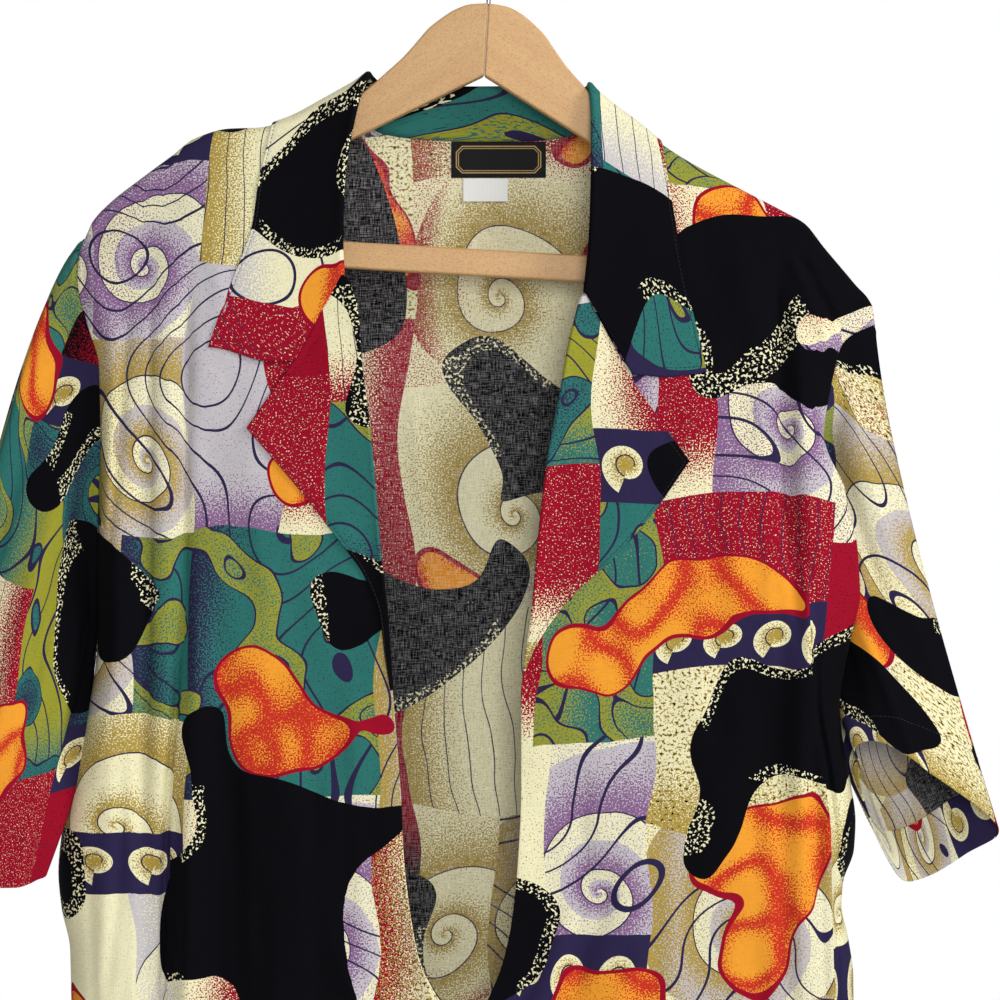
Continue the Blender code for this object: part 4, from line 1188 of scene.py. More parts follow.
def chosen(value, *stops):
    """A colour picked by a number: each colour holds from its place up to the next."""
    node = value.tree.nodes.new("ShaderNodeValToRGB")
    ramp = node.color_ramp
    ramp.interpolation = "CONSTANT"
    while len(ramp.elements) < len(stops):
        ramp.elements.new(1.0)
    for element, (place, colour) in zip(ramp.elements, stops):
        element.position = place
        element.color = (*colour, 1.0)
    value.tree.links.new(value.socket, node.inputs[0])
    return Field(value.tree, node.outputs[0])


def length_of(x, y):
    """How far a place lies from the middle."""
    return (x * x + y * y).math("SQRT")


def toned(colour, factor, lift=0.0):
    """A colour made darker or lighter."""
    return tuple(min(1.0, value * factor + lift) for value in colour)


def new_material(name):
    """An empty material, and its node tree."""
    made = bpy.data.materials.new(name)
    made.use_nodes = True
    return made, made.node_tree


def flat_place(tree):
    """The place on the flat cloth, in mm."""
    flat = add_node(tree, "ShaderNodeUVMap", {}, uv_map="cloth")
    return add_node(tree, "ShaderNodeVectorMath", {0: flat, 3: 1.0 / MM}, operation="SCALE")


def object_place(tree):
    """The place on the object, in metres."""
    return add_node(tree, "ShaderNodeTexCoord", {}, "Object")


def finish(made, inputs, *bump):
    """Joins or sets the shader's inputs. A bump is its strength, its depth in metres and its field."""
    tree = made.node_tree
    if bump:
        parts = dict(zip(("Strength", "Distance", "Height"), bump))
        inputs["Normal"] = add_node(tree, "ShaderNodeBump", parts)
    for name, value in inputs.items():
        socket = tree.nodes["Principled BSDF"].inputs[name]
        if isinstance(value, Field):
            tree.links.new(value.socket, socket)
        else:
            socket.default_value = value
    return made


def printed_design(place, paint):
    """The print, a collage of hand-sprayed blocks under bands, warm patches and dark shapes, as a colour.

    Places are in mm. Columns of one width are cut into blocks of uneven height, some of them split in two.
    A block's luck picks its ground, the edge that its second colour is sprayed from, and its motif: a
    scroll in pen over sprayed shade, pen stripes, or specks. The leaf shapes, pen loops, warm patches and
    dark shapes are level lines of smooth noise.
    """
    wander = parted(noise(place, 98.0, 0.0, "Color"))
    plain_u, plain_v, _ = parted(place)
    u = plain_u + (wander[0] - 0.5) * WANDER
    v = plain_v + (wander[1] - 0.5) * WANDER
    grain = noise(place, 1.15, 1.0)
    leaves = noise(place, LEAF_SIZE, 0.35)
    specks = noise(place, 2.1, 1.0)
    shapes = noise(place, 148.0, 1.1)

    # Blocks
    column = (u / BLOCK_WIDTH).math("FLOOR")
    column_luck = luck(column, 3.0, 5.0)
    across = u - column * BLOCK_WIDTH
    height = column_luck[0] * 76.0 + 104.0
    shifted = v + column_luck[1] * 400.0
    row = (shifted / height).math("FLOOR")
    down = shifted - row * height
    split_luck = luck(column, row, 3.0)
    split = split_luck[0] * 0.34 + 0.3 + split_luck[1].below(0.45)
    second = across.above(split * BLOCK_WIDTH)
    wide = (split.math("MINIMUM", 1.0) + second * (1.0 - split * 2.0)) * BLOCK_WIDTH
    left = across - second * split * BLOCK_WIDTH
    pick, motif, way = luck(column, row, second + 11.0)

    # Each block's ground, and its second colour sprayed from one edge
    colour = chosen(
        pick, (0.0, paint.crimson), (CREAM_FROM, paint.cream), (LILAC_FROM, paint.lilac),
        (OLIVE_FROM, paint.olive), (TEAL_FROM, paint.teal),
    )
    sprayed = chosen(
        pick, (0.0, paint.cream), (0.2, paint.black), (CREAM_FROM, paint.ochre), (0.38, paint.crimson),
        (0.48, paint.lilac), (LILAC_FROM, paint.purple), (0.67, paint.ochre), (OLIVE_FROM, paint.teal),
        (0.8, paint.ochre), (TEAL_FROM, paint.navy), (0.92, paint.olive),
    )
    from_edge = left + (down - left) * way.above(0.5)
    colour = blend(grain.above((from_edge / SPRAY_REACH).math("MINIMUM", 1.0) * 0.3 + 0.36), colour, sprayed)

    # Scrolls drawn in pen over sprayed shade, on the pale grounds
    x, y = left - wide * 0.5, down - height * 0.42
    radius = length_of(x, y) + 4.0
    turn = (y.math("ARCTAN2", x) / (2 * math.pi) + radius.math("LOGARITHM", math.e) * 0.95).math("FRACT")
    pale = pick.above(0.42) * pick.below(OLIVE_FROM) * motif.below(0.68)
    shade = chosen(
        pick, (0.0, paint.ochre), (0.5, paint.lilac), (LILAC_FROM, paint.purple), (0.68, paint.ochre))
    colour = blend(pale * grain.above(turn * 0.42 + 0.36), colour, shade)
    colour = blend(pale * turn.above(0.62) * grain.below(0.56), colour, paint.cream)
    pen = ((turn - 0.5).math("ABSOLUTE") * -1.0 + 0.5) * radius
    colour = blend(pale * pen.below(0.42) * radius.above(7.0), colour, paint.navy)

    # Loose pen loops over the pale and the green grounds, stripes and specks on others
    loops = wander[2].near_line(0.092, 0.0085)
    colour = blend(pick.above(LILAC_FROM) * loops, colour, paint.navy)
    striped = pick.below(LILAC_FROM) * motif.above(0.8)
    colour = blend(striped * (left + (leaves - 0.5) * 9.0).near_line(13.0, 0.7), colour, paint.navy)
    speckled = pick.above(CREAM_FROM) * pick.below(0.44) * motif.below(0.45)
    colour = blend(speckled * specks.above(0.56), colour, paint.ochre)
    colour = blend(speckled * specks.above(0.66), colour, paint.black)

    # Leaf shapes with a pen line round them, on the green grounds
    green = pick.above(OLIVE_FROM)
    leaf = green * leaves.above(LEAF_LEVEL)
    colour = blend(leaf, colour, chosen(pick, (0.0, paint.teal), (TEAL_FROM, paint.olive)))
    dusted = leaf * grain.above(0.98 - leaves * 0.72)
    colour = blend(dusted, colour, chosen(pick, (0.0, paint.navy), (TEAL_FROM, paint.teal)))
    outline = (leaves - LEAF_LEVEL).math("ABSOLUTE").below(0.007)
    vein = (leaves - VEIN_LEVEL).math("ABSOLUTE").below(0.006)
    colour = blend(green * outline.math("MAXIMUM", vein), colour, paint.navy)

    # Dark bands with one row of round-headed curls, along the tops of some blocks
    band = split_luck[2].above(0.74) * down.below(47.0)
    colour = blend(band, colour, paint.navy)
    curl_x = (across / CURL_PITCH).math("FRACT") * CURL_PITCH - 16.0
    curl_y = down - 25.0
    curl_radius = length_of(curl_x, curl_y)
    curl_swing = (curl_y.math("ARCTAN2", curl_x) / (2 * math.pi) + 0.3).math("FRACT")
    reach = curl_swing * curl_swing * curl_swing * 10.0 + 9.5
    curl = band * curl_radius.below(reach)
    colour = blend(curl, colour, paint.cream)
    colour = blend(curl * grain.above(curl_radius / reach * 0.4 + 0.24), colour, paint.ochre)
    eye = (curl_radius - curl_swing * 6.5 - 2.0).math("ABSOLUTE").below(0.45)
    colour = blend(curl * eye * curl_swing.above(0.25), colour, paint.navy)

    # Warm patches with a waved edge and a speckled core
    warmth = wander[1] + leaves * 0.24 - 0.12
    warm = warmth.above(WARM_LEVEL)
    colour = blend(warm, colour, paint.orange)
    colour = blend(warm * grain.below((leaves - 0.5).math("ABSOLUTE") * -2.2 + 0.66), colour, paint.scarlet)
    colour = blend((warmth - WARM_LEVEL).math("ABSOLUTE").below(0.008), colour, paint.crimson)

    # Large dark shapes, sprinkled with cream along some of their edge
    dark = shapes.above(DARK_LEVEL)
    colour = blend(dark, colour, paint.black)
    sprinkled = dark * shapes.below(SPRINKLE_LEVEL) * wander[0].above(0.52) * specks.above(0.57)
    return blend(sprinkled, colour, paint.cream), grain


def printed_cloth(wrong_side):
    """The shirt's light plain-weave cloth. Its wrong side shows the print paler, through the threads."""
    name = "print_wrong_side" if wrong_side else "print_right_side"
    if name in bpy.data.materials:
        return bpy.data.materials[name]
    made, tree = new_material(name)
    settings = bpy.context.scene.shirt_print
    colour_names = [key for key in settings.__annotations__ if key != "scale"]
    paint = SimpleNamespace(**{key: tuple(getattr(settings, key)) for key in colour_names})
    flat = add_node(tree, "ShaderNodeUVMap", {}, uv_map="cloth")
    past, hidden, _ = parted(add_node(tree, "ShaderNodeUVMap", {}, uv_map="pleat"))
    shift = joined(past.above(0.0) * hidden, 0.0)
    flat = add_node(tree, "ShaderNodeVectorMath", {0: flat, 1: shift}, operation="ADD")
    place = add_node(tree, "ShaderNodeVectorMath", {0: flat, 3: 1.0 / MM / settings.scale}, operation="SCALE")
    colour, grain = printed_design(place, paint)
    weave = fibres(place, (1.6, 0.12, 1.0)) + fibres(place, (0.12, 1.6, 1.0)) - 1.0
    if wrong_side:
        veil = grain * 0.3 + weave * 0.55 - 0.09
        colour = blend(veil.math("MAXIMUM", 0.0), colour, paint.wrong_side)
    tone = weave * (0.5 if wrong_side else 0.22) + 1.0
    colour = add_node(tree, "ShaderNodeHueSaturation", {"Value": tone, "Color": colour})
    return finish(made, {
        "Base Color": colour, "Roughness": 0.78, "Specular IOR Level": 0.02, "Sheen Weight": 0.008,
        "Sheen Roughness": 0.5,
    }, 0.35, 0.0003, weave)


def thread_material():
    """Twisted sewing thread."""
    if "edge_thread" in bpy.data.materials:
        return bpy.data.materials["edge_thread"]
    made, tree = new_material("edge_thread")
    dark = tuple(bpy.context.scene.shirt_hanger.thread)
    colour = blend(noise(object_place(tree), 0.0004), dark, toned(dark, 2.2, 0.02))
    return finish(made, {"Base Color": colour, "Roughness": 0.7, "Specular IOR Level": 0.2})


def label_material():
    """Black satin tape with a double border of gold thread, clipped at its corners, and no lettering."""
    settings = bpy.context.scene.shirt_hanger
    made, tree = new_material("woven_label")
    u, v, _ = parted(flat_place(tree))
    half_width, half_height = LABEL_SIZE[0] / 2, LABEL_SIZE[1] / 2
    side = (u - half_width).math("ABSOLUTE")
    end = (v + half_height).math("ABSOLUTE")
    to_edge = (side - half_width + BORDER_SIDE).math("MAXIMUM", end - half_height + BORDER_END)
    corner = (side + end - half_width - half_height + BORDER_CORNER) * 0.7071
    border = to_edge.math("MAXIMUM", corner)
    line = border.math("ABSOLUTE").below(0.42).math("MAXIMUM", (border + 1.5).math("ABSOLUTE").below(0.26))
    weft = v.near_line(0.55, 0.2)
    black = blend(weft, tuple(settings.label), toned(settings.label, 2.2, 0.003))
    gold = blend(u.near_line(0.9, 0.22), tuple(settings.gold), toned(settings.gold, 0.45))
    colour = blend(line, black, gold)
    inputs = {"Base Color": colour, "Roughness": 0.6, "Specular IOR Level": 0.15}
    return finish(made, inputs, 0.5, 0.0002, line + weft * 0.3)


def tape_material():
    """White woven tape."""
    made, tree = new_material("care_tape")
    rib = parted(flat_place(tree))[0].near_line(0.9, 0.4)
    white = tuple(bpy.context.scene.shirt_hanger.tab)
    colour = blend(rib, white, toned(white, 0.9))
    return finish(made, {"Base Color": colour, "Roughness": 0.65}, 0.3, 0.0001, rib)


def wood_material(name, lean, shade):
    """Pale hardwood under satin lacquer. Its grain leans down to the right by this angle."""
    settings = bpy.context.scene.shirt_hanger
    made, tree = new_material(name)
    grain = add_node(tree, "ShaderNodeMapping", {"Vector": object_place(tree), "Rotation": (0.0, -lean, 0.0)})
    drift = fibres(grain, (9.0, 90.0, 70.0), 3.0)
    pores = fibres(grain, (260.0, 1500.0, 1500.0))
    flecks = fibres(grain, (700.0, 900.0, 1300.0), 0.0)
    light, dark = toned(settings.wood, shade), toned(settings.wood_dark, shade)
    colour = blend((drift - 0.35) * 0.75, light, dark)
    colour = blend(pores.above(0.6) * 0.34, colour, dark)
    colour = blend(flecks.above(0.64) * 0.3, colour, toned(dark, 0.65))
    return finish(made, {
        "Base Color": colour, "Roughness": 0.5, "Specular IOR Level": 0.25, "Coat Weight": 0.1,
        "Coat Roughness": 0.3,
    }, 0.12, 0.0002, pores)


def steel_material():
    """Bright plated wire, a little rubbed."""
    made, tree = new_material("plated_wire")
    rub = noise(object_place(tree), 0.002, 2.0)
    steel = tuple(bpy.context.scene.shirt_hanger.steel)
    colour = blend(rub, steel, toned(steel, 0.8))
    return finish(made, {"Base Color": colour, "Roughness": rub * 0.16 + 0.14, "Metallic": 1.0})


def button_material():
    """Dark polished resin with a faint swirl."""
    made, tree = new_material("button_resin")
    dark = tuple(bpy.context.scene.shirt_hanger.button)
    colour = blend(noise(object_place(tree), 0.003, 2.0), dark, toned(dark, 3.0, 0.01))
    return finish(made, {"Base Color": colour, "Roughness": 0.22})


# ---------------------------------------------------------------- stitching


def grid_normals(points, closed=False):
    """The direction across the sheet at each grid point, from the steps to its neighbours."""
    if closed:
        around = (np.roll(points, -1, 0) - np.roll(points, 1, 0)) / 2
    else:
        around = np.gradient(points, axis=0)
    return unit(np.cross(around, np.gradient(points, axis=1)))


def on_grid(values, columns, rows):
    """Values of a grid read between its points, at these column and row numbers."""
    first_column = np.clip(np.floor(columns).astype(int), 0, values.shape[0] - 2)
    first_row = np.clip(np.floor(rows).astype(int), 0, values.shape[1] - 2)
    s, t = (columns - first_column)[:, None], (rows - first_row)[:, None]
    near = values[first_column, first_row] * (1 - s) + values[first_column + 1, first_row] * s
    far = values[first_column, first_row + 1] * (1 - s) + values[first_column + 1, first_row + 1] * s
    return near * (1 - t) + far * t


def stitch_run(points, columns, rows, wall, normal_sign):
    """Stitches along a line on a sheet: their middles, directions and the way out, one for each pitch.

    The wall is how far the sheet's face lies from its grid of points.
    """
    cloth = bpy.context.scene.shirt_cloth
    normals = grid_normals(points) * normal_sign
    line = on_grid(points, columns, rows)
    out = unit(on_grid(normals, columns, rows))
    travelled = travelled_along(line)
    middles = np.arange(cloth.stitch_pitch / MM / 2, travelled[-1], cloth.stitch_pitch / MM)
    half = cloth.stitch_length / MM / 2
    way_out = unit(read_along(out, travelled, middles))
    along = unit(read_along(line, travelled, middles + half) - read_along(line, travelled, middles - half))
    return read_along(line, travelled, middles) + way_out * (wall + STITCH_LIFT), along, way_out


def add_stitches(name, runs, stitch=None):
    """All stitches of some runs as one mesh: each a short thread with five sides, that dips at both ends.

    A stitch is as long and as thick as the settings say, where it isn't given, in metres.
    """
    cloth = bpy.context.scene.shirt_cloth
    stitch = stitch or (cloth.stitch_length, cloth.thread_width)
    middles, along, out = (np.concatenate(parts)[:, None] for parts in zip(*runs))
    across = unit(np.cross(along, out))
    length, radius = stitch[0] / MM / 2, stitch[1] / MM / 2
    stations = np.array([-1.0, -0.75, 0.0, 0.75, 1.0])[:, None] * length
    thickness = np.array([0.35, 0.85, 1.0, 0.85, 0.35])[:, None, None] * radius
    dip = np.array([-1.1, -0.25, 0.15, -0.25, -1.1])[:, None] * radius
    turn = np.linspace(0, 2 * math.pi, 5, endpoint=False)[:, None]
    spine = middles + along * stations + out * dip
    ring = np.cos(turn) * across + np.sin(turn) * out
    points = spine[:, :, None] + ring[:, None] * thickness

    rings = np.arange(25).reshape(5, 5)
    beside = np.roll(rings, -1, 1)
    sides = np.stack([rings[:-1], beside[:-1], beside[1:], rings[1:]], -1).reshape(-1, 4)
    ends = np.stack([rings[0, ::-1], rings[-1]])
    starts = (np.arange(len(middles)) * 25)[:, None, None]
    faces = (sides + starts).reshape(-1, 4).tolist() + (ends + starts).reshape(-1, 5).tolist()
    return add_piece(name, points.reshape(-1, 3) * MM, faces, [thread_material()])


# ---------------------------------------------------------------- operators


class SHIRT_OT_back(bpy.types.Operator):
    """Back: one sheet from the neckline and the shoulders to the hem"""

    bl_idname = "shirt.make_back"
    bl_label = "Make back"

    def execute(self, context):
        points = back_sheet()
        middle = points.shape[0] // 2
        hem = points.shape[1] - 1
        flat = cloth_coordinates(points, middle, hem, PRINT_START["back"])
        piece = add_cloth("shirt_back", points, flat, "back", context.scene.shirt_cloth.thickness)
        return {"FINISHED"}


class SHIRT_OT_fronts(bpy.types.Operator):
    """Fronts: the two front sheets, with their edges and hems turned in"""

    bl_idname = "shirt.make_fronts"
    bl_label = "Make fronts"

    def execute(self, context):
        for side in SIDES:
            points = front_sheet(side)
            column, row = points.shape[0] - FRONT_PRINT_COLUMN, points.shape[1] - 1
            flat = cloth_coordinates(points, column, row, PRINT_START[f"front_{side}"])
            piece = add_cloth(
                f"shirt_front_{side}", points, flat, f"front_{side}", context.scene.shirt_cloth.thickness,
                flip=side == "right",
            )
            hidden = SIGN[side] * read(PLEAT[side], "hidden", -points[..., 2])
            pleat = np.stack([past_pleat(side, points[..., 0], -points[..., 2]), hidden], -1) * MM
            corners = np.empty(len(piece.data.loops), int)
            piece.data.loops.foreach_get("vertex_index", corners)
            layer = piece.data.uv_layers.new(name="pleat")
            layer.data.foreach_set("uv", pleat.reshape(-1, 2)[corners].ravel())
        return {"FINISHED"}


class SHIRT_OT_lapels(bpy.types.Operator):
    """Lapels: the turned-back fronts, each a soft roll round the front's edge"""

    bl_idname = "shirt.make_lapels"
    bl_label = "Make lapels"

    def execute(self, context):
        for side in SIDES:
            points, flat = lapel_sheet(side)
            flat = flat + np.array(PRINT_START[f"lapel_{side}"]) * MM
            piece = add_cloth(
                f"shirt_lapel_{side}", points, flat, f"lapel_{side}",
                context.scene.shirt_cloth.collar_thickness, offset=0.0, flip=side == "right",
            )
        return {"FINISHED"}


class SHIRT_OT_collar(bpy.types.Operator):
    """Collar: a stand inside the neck, a soft roll and the fall over the shirt"""

    bl_idname = "shirt.make_collar"
    bl_label = "Make collar"

    def execute(self, context):
        points, flat = collar_sheet()
        flat = flat + np.array(PRINT_START["collar"]) * MM
        piece = add_cloth(
            "shirt_collar", points, flat, "collar", context.scene.shirt_cloth.collar_thickness, offset=0.0)
        return {"FINISHED"}


class SHIRT_OT_sleeves(bpy.types.Operator):
    """Sleeves: two short tubes set into the armholes, with turned-up hems"""

    bl_idname = "shirt.make_sleeves"
    bl_label = "Make sleeves"

    def execute(self, context):
        for side in SIDES:
            points = sleeve_sheet(side)
            flat = tube_coordinates(points, PRINT_START[f"sleeve_{side}"])
            piece = add_cloth(
                f"shirt_sleeve_{side}", points, flat, f"sleeve_{side}", context.scene.shirt_cloth.thickness,
                flip=side == "left", closed=True,
            )
        return {"FINISHED"}


def patch(place, size, lift):
    """A rectangle on the back's inner face, with a grid of points each moved in by its lift."""
    columns, rows = lift.shape
    x = place[0] + size[0] * np.linspace(0, 1, columns)[:, None]
    drop = place[1] + size[1] * np.linspace(0, 1, rows)[None, :]
    x, drop = np.broadcast_arrays(x, drop)
    return np.stack([x, back_face_y(x, drop) - cloth_layer() - lift, -drop], -1)


class SHIRT_OT_labels(bpy.types.Operator):
    """Labels: the woven neck label, sewn on at its ends, and the folded tape under it"""

    bl_idname = "shirt.make_labels"
    bl_label = "Make labels"

    def execute(self, context):
        across = np.linspace(-1, 1, 61)[:, None]
        down = np.linspace(0, 1, 31)[None, :]
        puff = 0.5 + 0.5 * (1 - across**6) * (1 - (2 * down - 1) ** 4) + 0.18 * np.sin(across * 9 + 1) * down
        label = patch(LABEL_PLACE, LABEL_SIZE, puff)
        self.add("woven_label", "neck_label", label, label_material(), "label_cloth")
        across = np.linspace(-1, 1, 41)[:, None]
        curl = 0.3 + 1.4 * down**2 + 0.35 * np.sin(across * 2.4 + 0.5) * down
        self.add("care_tape", "care_tab", patch(TAB_PLACE, TAB_SIZE, curl), tape_material(), "tab_cloth")
        return {"FINISHED"}

    def add(self, name, node, points, material, slot):
        """One label, sewn to the back."""
        flat = cloth_coordinates(points, 0, 0, (-points[0, 0, 0], 0.0))
        piece = add_piece(
            name, points.reshape(-1, 3) * MM, grid_faces(*points.shape[:2]), [material], [node],
            flat.reshape(-1, 2),
        )
        thicken(piece, LABEL_WALL, 0.0)


class SHIRT_OT_button(bpy.types.Operator):
    """Button: a turned resin button with a rim, a sunk middle and four holes, sewn on with crossed thread"""

    bl_idname = "shirt.make_button"
    bl_label = "Make button"

    def execute(self, context):
        face = float(front_face_y("left", np.array(LAP_X), np.array(BUTTON_DROP)))
        middle = np.array([LAP_X, face - BUTTON_LIFT - BUTTON_THICKNESS / 2, -BUTTON_DROP])
        profile = table(
            "radius height",
            (0, -0.25), (2.6, -0.25), (3.2, -0.05), (3.9, 0.75), (4.5, 1.1), (5.1, 1.12), (5.55, 0.8),
            (5.7, 0.2), (5.6, -0.5), (5.0, -1.0), (3.5, -1.2), (0, -1.2),
        )
        at = np.linspace(0, len(profile["radius"]) - 1, BUTTON_RINGS)
        count = np.arange(len(profile["radius"]), dtype=float)
        radius, height = (through(count, values, at) for values in profile.values())
        turn = np.linspace(0, 2 * math.pi, BUTTON_SIDES, endpoint=False)[:, None]
        x, z = radius * np.cos(turn), radius * np.sin(turn)
        hole = np.zeros(x.shape)
        for side_x in (-HOLE_PLACE, HOLE_PLACE):
            for side_z in (-HOLE_PLACE, HOLE_PLACE):
                hole += np.exp(-((np.hypot(x - side_x, z - side_z) / HOLE_RADIUS) ** 4))
        points = middle + np.stack([x, HOLE_DEPTH * hole - height, z], -1)
        piece = add_piece(
            "front_button", points.reshape(-1, 3) * MM, grid_faces(BUTTON_SIDES, BUTTON_RINGS, True),
            [button_material()], ["button"], wrap=BUTTON_SIDES * BUTTON_RINGS,
        )
        piece.data.validate()
        place = (middle + (0.0, CROSSED_THREAD_SINK, 0.0))[None]
        ahead = np.array([[0.0, -1.0, 0.0]])
        runs = [(place, unit(np.array([[1.0, 0.0, lean]])), ahead) for lean in (1.0, -1.0)]
        add_stitches("button_thread", runs, CROSSED_THREAD)
        return {"FINISHED"}


class SHIRT_OT_stitching(bpy.types.Operator):
    """Stitching: the rows of thread along the collar, lapels, neck seam and hems"""

    bl_idname = "shirt.make_stitching"
    bl_label = "Make stitching"

    def execute(self, context):
        cloth = context.scene.shirt_cloth
        wall = cloth.collar_thickness / MM / 2
        add_stitches("collar_stitching", [self.collar_run(wall)])
        add_stitches("lapel_stitching", [self.lapel_run(side, wall) for side in SIDES])
        add_stitches("hem_stitching", self.hem_runs())
        add_stitches("neck_stitching", [self.neck_run()])
        return {"FINISHED"}

    def collar_run(self, wall):
        """Out along the left end, along the outer edge, and back in along the right end."""
        points = collar_sheet()[0]
        columns, rows = points.shape[:2]
        end, edge, inner = COLLAR_END, rows - EDGE_ROWS, rows - COLLAR_START
        path = np.concatenate([
            np.stack([np.full(60, end), np.linspace(inner, edge, 60)], 1),
            np.stack([np.linspace(end, columns - 1 - end, 1200), np.full(1200, edge)], 1),
            np.stack([np.full(60, columns - 1 - end), np.linspace(edge, inner, 60)], 1),
        ])
        return stitch_run(points, path[:, 0], path[:, 1], wall, 1.0)

    def lapel_run(self, side, wall):
        """From the notch to the lapel's tip, and down its outer edge."""
        points = lapel_sheet(side)[0]
        columns, rows = points.shape[:2]
        end, edge, notch = LAPEL_END, rows - EDGE_ROWS, rows - LAPEL_START
        path = np.concatenate([
            np.stack([np.full(60, end), np.linspace(notch, edge, 60)], 1),
            np.stack([np.linspace(end, columns - LAPEL_FOOT, 600), np.full(600, edge)], 1),
        ])
        return stitch_run(points, path[:, 0], path[:, 1], wall, SIGN[side])

    def hem_runs(self):
        """One row above each hem, through both layers."""
        runs = []
        for side in SIDES:
            runs.append(self.hem_run(front_sheet(side), HEM_FIRST_COLUMN, HEM_ROWS, -SIGN[side]))
            sleeve = sleeve_sheet(side)
            runs.append(self.hem_run(np.concatenate([sleeve, sleeve[:1]]), 0, SLEEVE_HEM_ROWS, SIGN[side]))
        runs.append(self.hem_run(back_sheet(), 0, HEM_ROWS, 1.0))
        return runs

    def hem_run(self, points, first, rows_up, normal_sign):
        """One row, from its first column to the sheet's last."""
        columns = np.linspace(first, len(points) - 1, 1500)
        return stitch_run(points, columns, np.full(1500, points.shape[1] - rows_up), 0.0, normal_sign)

    def neck_run(self):
        """The row under the collar seam, on the inside of the back neck."""
        x = np.linspace(*NECK_STITCH_X, 300)
        drop = read(NECKLINE, "drop", x, "x") + NECK_STITCH_DROP
        line = np.stack([x, back_face_y(x, drop) - cloth_layer() - STITCH_LIFT, -drop], -1)
        travelled = travelled_along(line)
        middles = np.arange(NECK_STITCH_START, travelled[-1], bpy.context.scene.shirt_cloth.stitch_pitch / MM)
        at = read_along(line, travelled, middles)
        along = unit(np.gradient(at, axis=0))
        out = np.broadcast_to([0.0, -1.0, 0.0], at.shape)
        return at, along, unit(out - along * (out * along).sum(-1, keepdims=True))


def tipped(points):
    """Points of the hanger's own frame, tipped down on the viewer's right about the hook."""
    cos, sin = math.cos(HANGER_TIP), math.sin(HANGER_TIP)
    turn = np.array([[cos, 0.0, -sin], [0.0, 1.0, 0.0], [sin, 0.0, cos]])
    return points @ turn


def arm_outline(side):
    """One arm's smooth outline: the bell-shaped neck, the slope, and the flat foot on the trouser bar."""
    upper = np.array([
        (MITRE_GAP / 2, 0), (12, -1.4), (22, -5.5), (33, -13.5), (40, -20), (45, -26.5), (55.5, -39.8),
        (66, -50.5), (80, -64), (100, -80), (123, -97.5), (150, -112), (182, -126), (210, -139),
        (220, -146.5), (225, -156), (222, -166.7), (203, -166.7),
    ], float)
    count = np.arange(len(upper), dtype=float)
    at = np.linspace(0, len(upper) - 3, 110)
    curve = np.stack([through(count, upper[:, 0], at), through(count, upper[:, 1], at)], 1)
    outline = np.concatenate([curve, [(220, -167.2), (203, -167.2), (199, -159.2), (MITRE_GAP / 2, -49)]])
    outline = outline * (SIGN[side], 1) + (0, WOOD_TOP)
    return outline if side == "right" else outline[::-1]


def add_board(name, outline, thickness, material, node):
    """A flat board of this outline, with its edges rounded."""
    front = np.stack([outline[:, 0], np.full(len(outline), thickness / 2), outline[:, 1]], -1)
    piece = add_piece(name, tipped(front) * MM, [range(len(outline))], [material], [node])
    thicken(piece, thickness * MM, -1.0)
    edges = piece.modifiers.new("rounded edges", "BEVEL")
    edges.width = WOOD_EDGE_ROUND * MM
    edges.segments = 5
    edges.limit_method = "ANGLE"
    edges.angle_limit = math.radians(50)
    edges.harden_normals = True


class SHIRT_OT_hanger(bpy.types.Operator):
    """Hanger: two flat shaped arms that meet in a mitre, and the trouser bar"""

    bl_idname = "shirt.make_hanger"
    bl_label = "Make hanger"

    def execute(self, context):
        for side in SIDES:
            material = wood_material(f"wood_arm_{side}", SIGN[side] * WOOD_LEAN, WOOD_SHADE[side])
            add_board(f"wooden_arm_{side}", arm_outline(side), WOOD_THICKNESS, material, f"hanger_arm_{side}")
        far, top, bottom = BAR_HALF_LENGTH, BAR_TOP, BAR_BOTTOM
        ends = np.array([(-far, top), (far, top), (far, bottom), (-far, bottom)])
        material = wood_material("wood_bar", HANGER_TIP, 1.0)
        add_board("wooden_bar", ends, WOOD_THICKNESS, material, "trouser_bar")
        return {"FINISHED"}


class SHIRT_OT_hook(bpy.types.Operator):
    """Hook: one bent wire with a rounded tip, screwed into the mitre"""

    bl_idname = "shirt.make_hook"
    bl_label = "Make hook"

    def execute(self, context):
        stem = np.array([(0.0, WOOD_TOP + 0.3), (0.0, WOOD_TOP + 8), (0.0, WOOD_TOP + 16)])
        centre = np.array([0.0, WIRE_RADIUS - HOOK_RADIUS])
        angles = np.radians(np.linspace(HOOK_FROM, HOOK_TO, 90))
        arc = centre + HOOK_RADIUS * np.stack([np.cos(angles), np.sin(angles)], 1)
        t = np.linspace(0, 1, 30)[1:-1, None]
        into = HOOK_BEND_PULL * np.array([-math.sin(angles[0]), math.cos(angles[0])])
        bend = ((1 + 2 * t) * (1 - t) ** 2 * stem[-1] + t * (1 - t) ** 2 * np.array([0.0, HOOK_BEND_PULL])
                + t * t * (3 - 2 * t) * arc[0] + t * t * (t - 1) * into)
        path = np.concatenate([stem, bend, arc])
        path = np.stack([path[:, 0], path[:, 0] * 0, path[:, 1]], -1)
        points = tipped(tube(path, WIRE_RADIUS, WIRE_SIDES, (0.0, 1.0, 0.0))).transpose(1, 0, 2)
        faces = grid_faces(*points.shape[:2], True)[:, ::-1]
        piece = add_piece(
            "wire_hook", points.reshape(-1, 3) * MM, faces, [steel_material()], ["hanger_hook"],
            wrap=points.shape[0] * points.shape[1],
        )
        piece.data.validate()
        return {"FINISHED"}


